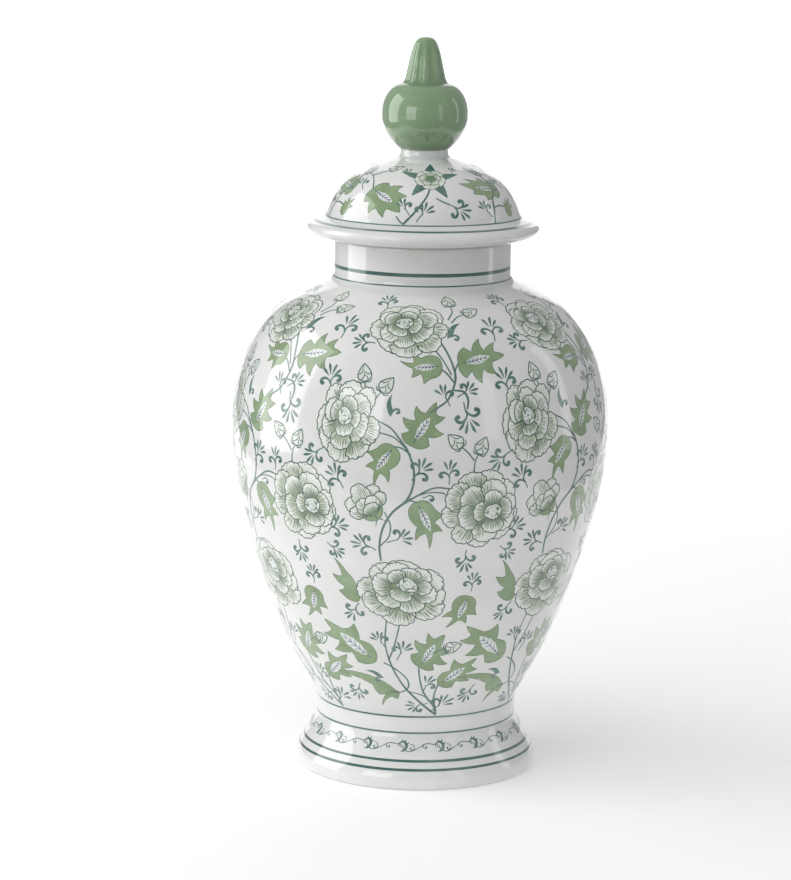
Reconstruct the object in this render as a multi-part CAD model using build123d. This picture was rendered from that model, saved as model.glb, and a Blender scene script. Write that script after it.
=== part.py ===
from build123d import *
import math
import os

# Lidded ginger jar: a slip-cast porcelain body, a loose domed lid with a
# locating skirt, and a separately cast knob luted into the lid's collar.
# Millimetres, +Z up, origin at the centre of the foot on the resting plane.

# ---- driving dimensions -------------------------------------------------
OVERALL_HEIGHT = 406.0      # foot to finial tip
SEAT_Z = 296.0              # neck rim, where the lid rests
NECK_R = 49.0               # outside of the neck
NECK_BORE_R = 44.4          # inside of the neck
WALL = 5.2                  # body wall
WAIST_R = 55.6              # vertical band above the foot
WAIST_LOW_Z = 29.7
WAIST_TOP_Z = 39.7
FOOT_FLOOR_Z = 9.0          # inside bottom of the jar
FOOT_RECESS = 3.6           # underside recess depth
FOOT_RING_IN_R = 51.5       # inner edge of the resting ring
FOOT_RING_OUT_R = 64.2      # outer edge of the resting ring
RIM_ROUND = 1.1             # rounding of the neck rim

SKIRT_R = 43.5              # outside of the lid's locating skirt
SKIRT_IN_R = 39.6           # inside of the skirt
SKIRT_DEPTH = 11.5          # how far the skirt reaches into the neck
LID_WALL = 4.6
COLLAR_R = 13.2             # white collar under the finial
COLLAR_TOP_Z = 344.9
TENON_R = 6.0               # finial tenon in the collar
TENON_DEPTH = 7.0

# outer profile of the flared foot: (radius, height)
FOOT = [(64.2, 0.0), (66.0, 1.2), (67.0, 3.4), (67.2, 6.3), (65.3, 11.5),
        (62.7, 15.9), (60.3, 19.9), (57.8, 24.4), (56.0, 28.0), (55.6, 29.7)]

# outer profile of the belly and shoulder, waist to neck
BELLY = [(55.6, 39.7), (58.7, 46.1), (64.1, 55.9), (68.9, 65.1), (73.3, 74.3),
         (80.6, 92.2), (89.0, 115.2), (95.8, 138.2), (101.1, 161.3),
         (103.8, 184.3), (104.1, 194.7), (103.5, 204.5), (100.7, 218.9),
         (97.1, 230.4), (91.8, 241.9), (84.6, 252.3), (74.1, 262.1),
         (61.7, 269.0), (53.6, 272.7), (49.9, 275.0), (49.0, 277.0)]

# rolled flange of the lid, from its flat seat out and up to the fold
FLANGE = [(56.2, 297.0), (60.2, 298.2), (63.0, 300.0), (64.1, 302.2),
          (63.4, 304.1), (61.4, 305.4), (58.8, 306.5), (56.2, 307.7),
          (54.0, 308.9)]

# dome of the lid, fold to collar
DOME = [(54.0, 308.9), (53.2, 310.5), (52.4, 312.6), (50.3, 317.3),
        (46.3, 323.8), (40.6, 329.4), (33.6, 333.7), (26.6, 336.8),
        (19.8, 339.0), (15.9, 340.2), (13.8, 341.4), (13.2, 343.1)]

# finial: bulb, then the conical tip
BULB = [(13.2, 344.9), (14.5, 345.8), (17.7, 349.0), (20.2, 352.5),
        (22.5, 357.0), (23.6, 361.6), (23.6, 366.3), (22.7, 370.9),
        (20.5, 375.5), (17.4, 378.9), (14.4, 380.5)]
TIP = [(12.6, 381.0), (11.9, 382.3), (11.1, 384.9), (10.4, 387.8),
       (9.2, 393.2), (7.7, 398.9), (6.4, 402.1), (4.6, 404.6),
       (2.5, 405.7), (0.0, 406.0)]


def tangents_of(points, t_start, t_end):
    """Unit directions at the points of the smooth clamped cubic through them."""
    n = len(points)
    h = [math.dist(points[i], points[i + 1]) for i in range(n - 1)]
    dirs = []
    for k in range(2):
        y = [p[k] for p in points]
        m0 = t_start[k] / math.hypot(*t_start)
        m1 = t_end[k] / math.hypot(*t_end)
        # slopes at the inner points: tridiagonal system, solved by elimination
        a, b, c, d = [0.0] * n, [1.0] * n, [0.0] * n, [m0] * n
        d[-1] = m1
        for i in range(1, n - 1):
            a[i], b[i], c[i] = h[i], 2 * (h[i - 1] + h[i]), h[i - 1]
            d[i] = 3 * (h[i] * (y[i] - y[i - 1]) / h[i - 1]
                        + h[i - 1] * (y[i + 1] - y[i]) / h[i])
        for i in range(1, n):
            w = a[i] / b[i - 1]
            b[i] -= w * c[i - 1]
            d[i] -= w * d[i - 1]
        m = [0.0] * n
        m[-1] = d[-1] / b[-1]
        for i in range(n - 2, -1, -1):
            m[i] = (d[i] - c[i] * m[i + 1]) / b[i]
        dirs.append(m)
    out = []
    for tr, tz in zip(*dirs):
        k = math.hypot(tr, tz)
        out.append((tr / k, tz / k))
    return out


def offset_run(points, tangents, wall):
    """Points moved by the wall towards the inside, square to the curve."""
    return [(r - wall * tz, z + wall * tr)
            for (r, z), (tr, tz) in zip(points, tangents)]


def one_arc(p, t, q):
    """Edge from p to q leaving along t: an arc, or a line when nearly flat."""
    dx, dy = q[0] - p[0], q[1] - p[1]
    chord = math.hypot(dx, dy)
    cross = t[0] * dy - t[1] * dx
    if abs(cross) / chord * chord / 4 < 0.002:      # height of the bow, mm
        return Line(p, q)
    rad = chord * chord / (2 * cross)
    cx, cy = p[0] - rad * t[1], p[1] + rad * t[0]
    mx, my = (p[0] + q[0]) / 2 - cx, (p[1] + q[1]) / 2 - cy
    k = abs(rad) / math.hypot(mx, my)
    if (t[0] * dx + t[1] * dy) < 0:
        k = -k
    return ThreePointArc(p, (cx + mx * k, cy + my * k), q)


def arcs(points, tangents):
    """A tangent-continuous chain of arcs: two between each pair of points."""
    edges = []
    for (p, t), (q, u) in zip(zip(points, tangents),
                              zip(points[1:], tangents[1:])):
        vx, vy = q[0] - p[0], q[1] - p[1]
        sx, sy = t[0] + u[0], t[1] + u[1]
        vt = vx * sx + vy * sy
        denom = 2 * (1 - (t[0] * u[0] + t[1] * u[1]))
        vv = vx * vx + vy * vy
        if denom < 1e-9:
            d = vv / (4 * (vx * u[0] + vy * u[1]))
        else:
            d = (-vt + math.sqrt(vt * vt + denom * vv)) / denom
        j = ((p[0] + q[0] + d * (t[0] - u[0])) / 2,
             (p[1] + q[1] + d * (t[1] - u[1])) / 2)
        edges.append(one_arc(p, t, j))
        # the second arc, built backwards from its far end
        edges.append(one_arc(q, (-u[0], -u[1]), j))
    return edges


def revolved(edges):
    face = Face(Wire(edges))
    return revolve(Plane.XZ.location * face, Axis.Z, 360)


def smooth(points, t_start, t_end):
    return arcs(points, tangents_of(points, t_start, t_end))


# ---- jar_body -----------------------------------------------------------
belly_dirs = tangents_of(BELLY, (0.45, 1.0), (0.0, 1.0))
# the inside follows the belly from above the waist to below the neck bore
inner = [(p, t) for p, t in zip(offset_run(BELLY, belly_dirs, WALL), belly_dirs)
         if 46.0 < p[1] < 262.0]
inner_pts = [(NECK_BORE_R, 272.0), (46.6, 268.2)] + [p for p, _ in inner[::-1]]
floor_r = 56.0
body_edges = [
    Line((0, FOOT_RECESS), (FOOT_RING_IN_R - 3.0, FOOT_RECESS)),
    Line((FOOT_RING_IN_R - 3.0, FOOT_RECESS), (FOOT_RING_IN_R, 0)),
    Line((FOOT_RING_IN_R, 0), (FOOT_RING_OUT_R, 0)),
    *smooth(FOOT, (1.0, 0.35), (0.0, 1.0)),
    Line((WAIST_R, WAIST_LOW_Z), (WAIST_R, WAIST_TOP_Z)),
    *arcs(BELLY, belly_dirs),
    Line((NECK_R, BELLY[-1][1]), (NECK_R, SEAT_Z - RIM_ROUND)),
    Line((NECK_R, SEAT_Z - RIM_ROUND), (NECK_R - RIM_ROUND, SEAT_Z)),
    Line((NECK_R - RIM_ROUND, SEAT_Z), (NECK_BORE_R + RIM_ROUND, SEAT_Z)),
    Line((NECK_BORE_R + RIM_ROUND, SEAT_Z), (NECK_BORE_R, SEAT_Z - RIM_ROUND)),
    Line((NECK_BORE_R, SEAT_Z - RIM_ROUND), (NECK_BORE_R, 272.0)),
    *smooth(inner_pts, (0.0, -1.0),
            (-inner[0][1][0], -inner[0][1][1])),
    Line(inner_pts[-1], (WAIST_R - WALL, 40.0)),
    Line((WAIST_R - WALL, 40.0), (WAIST_R - WALL, 27.0)),
    Line((WAIST_R - WALL, 27.0), (floor_r - 1.5, FOOT_FLOOR_Z + 5.0)),
    Line((floor_r - 1.5, FOOT_FLOOR_Z + 5.0), (floor_r - 6.5, FOOT_FLOOR_Z)),
    Line((floor_r - 6.5, FOOT_FLOOR_Z), (0, FOOT_FLOOR_Z)),
    Line((0, FOOT_FLOOR_Z), (0, FOOT_RECESS)),
]
jar_body = revolved(body_edges)

# ---- lid ----------------------------------------------------------------
dome_dirs = tangents_of(DOME, (-0.35, 1.0), (0.0, 1.0))
inner_dome = [(p, t) for p, t in
              zip(offset_run(DOME, dome_dirs, LID_WALL), dome_dirs)
              if p[0] > 16.0 and 309.0 < p[1] < 336.0]
crown_z = 335.4             # inside top of the dome
lid_edges = [
    Line((0, crown_z), (0, COLLAR_TOP_Z - TENON_DEPTH)),
    Line((0, COLLAR_TOP_Z - TENON_DEPTH), (TENON_R, COLLAR_TOP_Z - TENON_DEPTH)),
    Line((TENON_R, COLLAR_TOP_Z - TENON_DEPTH), (TENON_R, COLLAR_TOP_Z)),
    Line((TENON_R, COLLAR_TOP_Z), (COLLAR_R, COLLAR_TOP_Z)),
    Line((COLLAR_R, COLLAR_TOP_Z), (COLLAR_R, DOME[-1][1])),
    *arcs(DOME, dome_dirs),
    *smooth(FLANGE, (1.0, 0.2), (-1.0, 0.55)),
    Line(FLANGE[0], (50.5, SEAT_Z)),
    Line((50.5, SEAT_Z), (SKIRT_R, SEAT_Z)),
    Line((SKIRT_R, SEAT_Z), (SKIRT_R, SEAT_Z - SKIRT_DEPTH + 1.0)),
    Line((SKIRT_R, SEAT_Z - SKIRT_DEPTH + 1.0),
         (SKIRT_R - 1.0, SEAT_Z - SKIRT_DEPTH)),
    Line((SKIRT_R - 1.0, SEAT_Z - SKIRT_DEPTH),
         (SKIRT_IN_R + 0.8, SEAT_Z - SKIRT_DEPTH)),
    Line((SKIRT_IN_R + 0.8, SEAT_Z - SKIRT_DEPTH),
         (SKIRT_IN_R, SEAT_Z - SKIRT_DEPTH + 0.8)),
    Line((SKIRT_IN_R, SEAT_Z - SKIRT_DEPTH + 0.8), (SKIRT_IN_R, 298.5)),
    Line((SKIRT_IN_R, 298.5), inner_dome[0][0]),
    *arcs([p for p, _ in inner_dome], [t for _, t in inner_dome]),
    Line(inner_dome[-1][0], (11.0, crown_z)),
    Line((11.0, crown_z), (0, crown_z)),
]
lid = revolved(lid_edges)

# ---- finial -------------------------------------------------------------
fin_edges = [
    Line((0, COLLAR_TOP_Z - TENON_DEPTH), (TENON_R, COLLAR_TOP_Z - TENON_DEPTH)),
    Line((TENON_R, COLLAR_TOP_Z - TENON_DEPTH), (TENON_R, COLLAR_TOP_Z)),
    Line((TENON_R, COLLAR_TOP_Z), BULB[0]),
    *smooth(BULB, (1.0, 0.45), (-1.0, 0.3)),
    Line(BULB[-1], TIP[0]),
    *smooth(TIP, (-0.1, 1.0), (-1.0, 0.0)),
    Line((0, OVERALL_HEIGHT), (0, COLLAR_TOP_Z - TENON_DEPTH)),
]
finial = revolved(fin_edges)

os.makedirs("parts", exist_ok=True)
for name, shape in (("jar_body", jar_body), ("lid", lid), ("finial", finial)):
    shape.label = name
    export_step(shape, f"parts/{name}.step")
    bb = shape.bounding_box()
    print(name, len(shape.solids()), round(shape.volume / 1000, 1), "cm3",
          [round(v, 2) for v in (*bb.min, *bb.max)])
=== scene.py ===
import math
import random

import bpy
import numpy as np
from mathutils import Matrix, Vector
from mathutils.geometry import delaunay_2d_cdt


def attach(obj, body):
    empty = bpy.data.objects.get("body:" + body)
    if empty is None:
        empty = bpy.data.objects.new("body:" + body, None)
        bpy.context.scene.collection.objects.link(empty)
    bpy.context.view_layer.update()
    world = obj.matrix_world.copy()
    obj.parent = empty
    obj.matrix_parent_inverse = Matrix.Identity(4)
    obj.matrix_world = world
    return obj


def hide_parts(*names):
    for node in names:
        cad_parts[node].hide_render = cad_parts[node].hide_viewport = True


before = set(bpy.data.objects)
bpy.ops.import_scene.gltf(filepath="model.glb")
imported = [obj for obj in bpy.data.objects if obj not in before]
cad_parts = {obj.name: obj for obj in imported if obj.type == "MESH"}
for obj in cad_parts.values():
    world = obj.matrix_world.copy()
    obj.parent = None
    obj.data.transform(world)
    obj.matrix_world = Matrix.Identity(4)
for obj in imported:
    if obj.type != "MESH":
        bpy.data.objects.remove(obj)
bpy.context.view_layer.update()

SCENE = bpy.context.scene
MM = 0.001
INSET = 0.14            # the glaze lies this far under the design surface; painted relief fills it

# ======================================================================
# camera (same height, distance and lens as a product shot of the jar)
# ======================================================================
PITCH, YAW, ROLL = math.radians(10.42), math.radians(-0.4193), math.radians(-0.826)
CAM_D, CAM_Z, LENS_PX = 1.8432, 0.52168, 3373.2
e_R = Vector((math.cos(YAW), -math.sin(YAW), 0))
e_Y = Vector((math.sin(YAW), math.cos(YAW), 0))
e_F = math.cos(PITCH) * e_Y - math.sin(PITCH) * Vector((0, 0, 1))
e_U = math.sin(PITCH) * e_Y + math.cos(PITCH) * Vector((0, 0, 1))
right = math.cos(ROLL) * e_R - math.sin(ROLL) * e_U
up = math.sin(ROLL) * e_R + math.cos(ROLL) * e_U
cam_data = bpy.data.cameras.new("camera")
cam_data.lens = LENS_PX * 36.0 / 880.0
cam_data.sensor_width = 36.0
cam_data.sensor_fit = "AUTO"
cam_data.clip_start, cam_data.clip_end = 0.05, 50
cam = bpy.data.objects.new("camera", cam_data)
cam.matrix_world = Matrix(((right.x, up.x, -e_F.x, 0.0),
                           (right.y, up.y, -e_F.y, -CAM_D),
                           (right.z, up.z, -e_F.z, CAM_Z),
                           (0, 0, 0, 1)))
SCENE.collection.objects.link(cam)
SCENE.camera = cam

# ======================================================================
# profiles: the design's own numbers, millimetres
# ======================================================================
WAIST_R = 55.6
FOOT = [(64.2, 0.0), (66.0, 1.2), (67.0, 3.4), (67.2, 6.3), (65.3, 11.5),
        (62.7, 15.9), (60.3, 19.9), (57.8, 24.4), (56.0, 28.0), (55.6, 29.7)]
BELLY = [(55.6, 39.7), (58.7, 46.1), (64.1, 55.9), (68.9, 65.1), (73.3, 74.3),
         (80.6, 92.2), (89.0, 115.2), (95.8, 138.2), (101.1, 161.3),
         (103.8, 184.3), (104.1, 194.7), (103.5, 204.5), (100.7, 218.9),
         (97.1, 230.4), (91.8, 241.9), (84.6, 252.3), (74.1, 262.1),
         (61.7, 269.0), (53.6, 272.7), (49.9, 275.0), (49.0, 277.0)]
FLANGE = [(56.2, 297.0), (60.2, 298.2), (63.0, 300.0), (64.1, 302.2),
          (63.4, 304.1), (61.4, 305.4), (58.8, 306.5), (56.2, 307.7),
          (54.0, 308.9)]
DOME = [(54.0, 308.9), (53.2, 310.5), (52.4, 312.6), (50.3, 317.3),
        (46.3, 323.8), (40.6, 329.4), (33.6, 333.7), (26.6, 336.8),
        (19.8, 339.0), (15.9, 340.2), (13.8, 341.4), (13.2, 343.1)]
BULB = [(13.2, 344.9), (14.5, 345.8), (17.7, 349.0), (20.2, 352.5),
        (22.5, 357.0), (23.6, 361.6), (23.6, 366.3), (22.7, 370.9),
        (20.5, 375.5), (17.4, 378.9), (14.4, 380.5)]
TIP = [(12.6, 381.0), (11.9, 382.3), (11.1, 384.9), (10.4, 387.8),
       (9.2, 393.2), (7.7, 398.9), (6.4, 402.1), (4.6, 404.6),
       (2.5, 405.7), (0.0, 406.0)]
SEAT_Z = 296.0
NECK_R, NECK_BORE_R = 49.0, 44.4


def clamped_spline(points, t0, t1, step=0.4):
    """Smooth curve through the points with given end directions, evenly sampled."""
    p = np.array(points, float)
    d = np.r_[0, np.cumsum(np.hypot(*np.diff(p, axis=0).T))]
    n, h = len(d), np.diff(d)
    out = []
    q = np.linspace(0, d[-1], max(8, int(d[-1] / step)))
    for k in range(2):
        y = p[:, k]
        a = t0[k] / math.hypot(*t0)
        b = t1[k] / math.hypot(*t1)
        A = np.zeros((n, n))
        R = np.zeros(n)
        A[0, 0], A[0, 1], R[0] = 2 * h[0], h[0], 6 * ((y[1] - y[0]) / h[0] - a)
        for i in range(1, n - 1):
            A[i, i - 1], A[i, i], A[i, i + 1] = h[i - 1], 2 * (h[i - 1] + h[i]), h[i]
            R[i] = 6 * ((y[i + 1] - y[i]) / h[i] - (y[i] - y[i - 1]) / h[i - 1])
        A[-1, -1], A[-1, -2] = 2 * h[-1], h[-1]
        R[-1] = 6 * (b - (y[-1] - y[-2]) / h[-1])
        M = np.linalg.solve(A, R)
        i = np.clip(np.searchsorted(d, q, side="right") - 1, 0, n - 2)
        u, w, H = q - d[i], d[i + 1] - q, h[i]
        out.append((M[i] * w ** 3 + M[i + 1] * u ** 3) / (6 * H)
                   + (y[i] / H - M[i] * H / 6) * w + (y[i + 1] / H - M[i + 1] * H / 6) * u)
    return np.stack(out, 1)


def line_pts(a, b, step=0.6):
    n = max(2, int(math.hypot(b[0] - a[0], b[1] - a[1]) / step) + 1)
    t = np.linspace(0, 1, n)[:, None]
    return np.array(a) * (1 - t) + np.array(b) * t


def join(*runs):
    """One polyline from runs that meet end to end."""
    out = [runs[0]]
    for r in runs[1:]:
        out.append(r[1:] if np.allclose(r[0], out[-1][-1], atol=1e-6) else r)
    return np.concatenate(out)


def ease_corners(p, corners, size):
    """Rounds the polyline near each corner point with a small arc-like curve."""
    d = np.r_[0, np.cumsum(np.hypot(*np.diff(p, axis=0).T))]
    for c, s in zip(corners, size):
        i = int(np.argmin(np.hypot(p[:, 0] - c[0], p[:, 1] - c[1])))
        dc = d[i]
        a = np.array([np.interp(dc - s, d, p[:, k]) for k in range(2)])
        b = np.array([np.interp(dc + s, d, p[:, k]) for k in range(2)])
        m = p[i]
        t = np.linspace(0, 1, 9)[:, None]
        arc = (1 - t) ** 2 * a + 2 * t * (1 - t) * m + t ** 2 * b
        p = np.concatenate([p[d < dc - s - 1e-6], arc, p[d > dc + s + 1e-6]])
        d = np.r_[0, np.cumsum(np.hypot(*np.diff(p, axis=0).T))]
    return p


class Surface:
    """An outside surface of revolution: s runs up along it in mm, th is the angle from the front, to the right."""

    def __init__(self, p):
        self.p = p
        self.s = np.r_[0, np.cumsum(np.hypot(*np.diff(p, axis=0).T))]
        t = np.gradient(p, self.s, axis=0)
        k = np.array([0.25, 0.5, 0.25])
        for _ in range(2):
            t = np.stack([np.convolve(np.pad(t[:, j], 1, mode="edge"), k, "valid") for j in range(2)], 1)
        t /= np.hypot(t[:, 0], t[:, 1])[:, None]
        self.n = np.stack([t[:, 1], -t[:, 0]], 1)

    def r(self, s):
        return np.interp(s, self.s, self.p[:, 0])

    def s_of_z(self, z):
        return np.interp(z, self.p[:, 1], self.s)

    def at(self, th, s, h):
        nr, nz = np.interp(s, self.s, self.n[:, 0]), np.interp(s, self.s, self.n[:, 1])
        k = np.hypot(nr, nz)
        nr, nz = nr / k, nz / k
        r = np.interp(s, self.s, self.p[:, 0]) + (h - INSET) * nr
        z = np.interp(s, self.s, self.p[:, 1]) + (h - INSET) * nz
        sn, cs = np.sin(th), np.cos(th)
        return (np.stack([r * sn, -r * cs, z], 1) * MM,
                np.stack([nr * sn, -nr * cs, nz], 1))


foot_run = clamped_spline(FOOT, (1.0, 0.35), (0.0, 1.0))
belly_run = clamped_spline(BELLY, (0.45, 1.0), (0.0, 1.0))
body_out = join(foot_run, line_pts((WAIST_R, 29.7), (WAIST_R, 39.7), 0.4), belly_run,
                line_pts((NECK_R, 277.0), (NECK_R, SEAT_Z - 1.6), 0.5))
body_out = ease_corners(body_out, [(WAIST_R, 39.7), (WAIST_R, 29.7)], [0.9, 0.8])
lid_out = join(clamped_spline(FLANGE, (1.0, 0.2), (-1.0, 0.55), 0.25),
               clamped_spline(DOME, (-0.35, 1.0), (0.0, 1.0), 0.3),
               line_pts((13.2, 343.1), (13.2, 344.9), 0.3))
JAR = Surface(body_out)
LID = Surface(lid_out)
S_BELLY = float(JAR.s_of_z(39.7))       # the layout of the belly is measured up from here
S_DOME = float(LID.s_of_z(308.9))


# ======================================================================
# node materials
# ======================================================================
def new_mat(name):
    m = bpy.data.materials.new(name)
    m.use_nodes = True
    nt = m.node_tree
    for n in list(nt.nodes):
        nt.nodes.remove(n)
    out = nt.nodes.new("ShaderNodeOutputMaterial")
    b = nt.nodes.new("ShaderNodeBsdfPrincipled")
    nt.links.new(b.outputs[0], out.inputs[0])
    return m, nt, b


def node(nt, kind, **kw):
    n = nt.nodes.new(kind)
    for k, v in kw.items():
        if k in n.bl_rna.properties:
            setattr(n, k, v)
    return n


def noise(nt, vec, scale, detail=3.0, rough=0.5):
    n = nt.nodes.new("ShaderNodeTexNoise")
    n.inputs["Scale"].default_value = scale
    n.inputs["Detail"].default_value = detail
    n.inputs["Roughness"].default_value = rough
    nt.links.new(vec, n.inputs["Vector"])
    return n.outputs["Fac"]


def ramp(nt, fac, stops):
    n = nt.nodes.new("ShaderNodeValToRGB")
    cr = n.color_ramp
    while len(cr.elements) < len(stops):
        cr.elements.new(0.5)
    for e, (pos, col) in zip(cr.elements, stops):
        e.position = pos
        e.color = (*col, 1) if len(col) == 3 else (col[0], col[0], col[0], 1)
    nt.links.new(fac, n.inputs["Fac"])
    return n.outputs["Color"]


def mix(nt, fac, a, b, mode="MIX"):
    n = nt.nodes.new("ShaderNodeMix")
    n.data_type = "RGBA"
    n.blend_type = mode
    for sock, v in ((n.inputs[0], fac), (n.inputs[6], a), (n.inputs[7], b)):
        if isinstance(v, bpy.types.NodeSocket):
            nt.links.new(v, sock)
        elif isinstance(v, (int, float)):
            sock.default_value = v
        else:
            sock.default_value = (*v, 1)
    return n.outputs[2]


def srgb(r, g, b):
    def f(c):
        c /= 255.0
        return c / 12.92 if c <= 0.04045 else ((c + 0.055) / 1.055) ** 2.4
    return (f(r), f(g), f(b))


def glaze_gloss(nt, b, vec, rough=0.11, coat=0.85, wave=0.30):
    """Clear fired glaze over the colour: a sharp coat, slightly wavy as dipped glaze is."""
    b.inputs["Roughness"].default_value = rough
    b.inputs["IOR"].default_value = 1.5
    b.inputs["Coat Weight"].default_value = coat
    b.inputs["Coat Roughness"].default_value = 0.025
    b.inputs["Coat IOR"].default_value = 1.52
    slow = noise(nt, vec, 26.0, 1.0, 0.4)
    fine = noise(nt, vec, 420.0, 2.0, 0.5)
    hsum = nt.nodes.new("ShaderNodeMath")
    hsum.operation = "MULTIPLY_ADD"
    hsum.inputs[1].default_value = 0.035
    nt.links.new(fine, hsum.inputs[0])
    nt.links.new(slow, hsum.inputs[2])
    bump = nt.nodes.new("ShaderNodeBump")
    bump.inputs["Strength"].default_value = wave
    bump.inputs["Distance"].default_value = 0.0009
    nt.links.new(hsum.outputs[0], bump.inputs["Height"])
    nt.links.new(bump.outputs[0], b.inputs["Normal"])
    nt.links.new(bump.outputs[0], b.inputs["Coat Normal"])


def obj_coords(nt):
    return nt.nodes.new("ShaderNodeTexCoord").outputs["Object"]


def z_of(nt, vec):
    n = nt.nodes.new("ShaderNodeSeparateXYZ")
    nt.links.new(vec, n.inputs[0])
    return n.outputs["Z"]


def remap(nt, v, a, b, c=0.0, d=1.0):
    n = nt.nodes.new("ShaderNodeMapRange")
    for k, x in zip((1, 2, 3, 4), (a, b, c, d)):
        n.inputs[k].default_value = x
    nt.links.new(v, n.inputs[0])
    return n.outputs[0]


def white_glaze(name, pools):
    """Porcelain white under clear glaze. pools: heights in metres where the glaze gathers and looks cooler."""
    m, nt, b = new_mat(name)
    v = obj_coords(nt)
    tone = ramp(nt, noise(nt, v, 14.0, 4.0, 0.55),
                [(0.30, srgb(222, 222, 219)), (0.52, srgb(228, 228, 226)), (0.74, srgb(232, 232, 231))])
    cloud = ramp(nt, noise(nt, v, 95.0, 3.0, 0.6), [(0.35, (0.965, 0.97, 0.972)), (0.65, (1.0, 1.0, 1.0))])
    col = mix(nt, 1.0, tone, cloud, "MULTIPLY")
    z = z_of(nt, v)
    for zc, width, amount in pools:
        d = nt.nodes.new("ShaderNodeMath")
        d.operation = "SUBTRACT"
        d.inputs[1].default_value = zc
        nt.links.new(z, d.inputs[0])
        a = nt.nodes.new("ShaderNodeMath")
        a.operation = "ABSOLUTE"
        nt.links.new(d.outputs[0], a.inputs[0])
        f = remap(nt, a.outputs[0], 0.0, width, amount, 0.0)
        col = mix(nt, f, col, srgb(196, 208, 203))
    # a few tiny iron specks, as fired porcelain has
    vo = nt.nodes.new("ShaderNodeTexVoronoi")
    vo.inputs["Scale"].default_value = 55.0
    nt.links.new(v, vo.inputs["Vector"])
    speck = ramp(nt, vo.outputs["Distance"], [(0.0, (0.55,)), (0.022, (0.0,))])
    gate = ramp(nt, noise(nt, v, 31.0, 1.0), [(0.62, (0.0,)), (0.66, (1.0,))])
    f = mix(nt, 1.0, speck, gate, "MULTIPLY")
    sep = nt.nodes.new("ShaderNodeSeparateColor")
    nt.links.new(f, sep.inputs[0])
    col = mix(nt, sep.outputs[0], col, srgb(150, 140, 122))
    nt.links.new(col, b.inputs["Base Color"])
    glaze_gloss(nt, b, v)
    return m


def painted(name, dark, mid, pale, scale=90.0, spread=(0.32, 0.5, 0.70), use_wash=False, wash_amount=0.35):
    """Underglaze colour with the uneven tone of brushed and printed pigment."""
    m, nt, b = new_mat(name)
    v = obj_coords(nt)
    n1 = noise(nt, v, scale, 4.0, 0.6)
    col = ramp(nt, n1, [(spread[0], dark), (spread[1], mid), (spread[2], pale)])
    grain = ramp(nt, noise(nt, v, scale * 9, 2.0, 0.6), [(0.3, (0.93, 0.94, 0.93)), (0.7, (1.0, 1.0, 1.0))])
    col = mix(nt, 1.0, col, grain, "MULTIPLY")
    if use_wash:
        at = nt.nodes.new("ShaderNodeAttribute")
        at.attribute_name = "wash"
        w = remap(nt, at.outputs["Fac"], 0.0, 1.0, 0.0, wash_amount)
        col = mix(nt, w, col, pale)
    nt.links.new(col, b.inputs["Base Color"])
    glaze_gloss(nt, b, v)
    return m


def petal_mat(name, rim, mid, root):
    """Petals: cream at the edge, green wash gathering at the root."""
    m, nt, b = new_mat(name)
    v = obj_coords(nt)
    at = nt.nodes.new("ShaderNodeAttribute")
    at.attribute_name = "wash"
    n1 = noise(nt, v, 130.0, 3.0, 0.6)
    wob = remap(nt, n1, 0.25, 0.75, -0.16, 0.16)
    add = nt.nodes.new("ShaderNodeMath")
    add.operation = "ADD"
    nt.links.new(at.outputs["Fac"], add.inputs[0])
    nt.links.new(wob, add.inputs[1])
    col = ramp(nt, add.outputs[0], [(0.27, root), (0.57, mid), (0.83, rim), (1.0, rim)])
    grain = ramp(nt, noise(nt, v, 800.0, 2.0, 0.6), [(0.3, (0.95, 0.96, 0.95)), (0.7, (1.0, 1.0, 1.0))])
    col = mix(nt, 1.0, col, grain, "MULTIPLY")
    nt.links.new(col, b.inputs["Base Color"])
    glaze_gloss(nt, b, v)
    return m


def finial_mat():
    """Sage celadon: thin and pale on the crests, deep where it pools."""
    m, nt, b = new_mat("finial_green")
    v = obj_coords(nt)
    base = ramp(nt, noise(nt, v, 38.0, 5.0, 0.6),
                [(0.30, srgb(118, 146, 108)), (0.52, srgb(130, 157, 119)), (0.75, srgb(144, 170, 132))])
    at = nt.nodes.new("ShaderNodeAttribute")
    at.attribute_name = "pool"
    col = mix(nt, remap(nt, at.outputs["Fac"], 0.0, 1.0, 0.0, 0.62), base, srgb(92, 118, 86))
    th = nt.nodes.new("ShaderNodeAttribute")
    th.attribute_name = "crest"
    col = mix(nt, remap(nt, th.outputs["Fac"], 0.0, 1.0, 0.0, 0.45), col, srgb(168, 190, 152))
    spots = ramp(nt, noise(nt, v, 520.0, 3.0, 0.65), [(0.30, (0.90, 0.92, 0.90)), (0.62, (1.0, 1.0, 1.0))])
    col = mix(nt, 1.0, col, spots, "MULTIPLY")
    nt.links.new(col, b.inputs["Base Color"])
    glaze_gloss(nt, b, v, rough=0.10, coat=1.0, wave=0.30)
    return m


def biscuit_mat():
    m, nt, b = new_mat("biscuit")
    v = obj_coords(nt)
    col = ramp(nt, noise(nt, v, 160.0, 5.0, 0.7),
               [(0.28, srgb(196, 188, 174)), (0.5, srgb(214, 208, 196)), (0.72, srgb(226, 222, 213))])
    nt.links.new(col, b.inputs["Base Color"])
    rr = remap(nt, noise(nt, v, 700.0, 3.0, 0.6), 0.3, 0.7, 0.62, 0.85)
    nt.links.new(rr, b.inputs["Roughness"])
    bump = nt.nodes.new("ShaderNodeBump")
    bump.inputs["Strength"].default_value = 0.5
    bump.inputs["Distance"].default_value = 0.0002
    nt.links.new(noise(nt, v, 1500.0, 3.0, 0.7), bump.inputs["Height"])
    nt.links.new(bump.outputs[0], b.inputs["Normal"])
    return m


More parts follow.
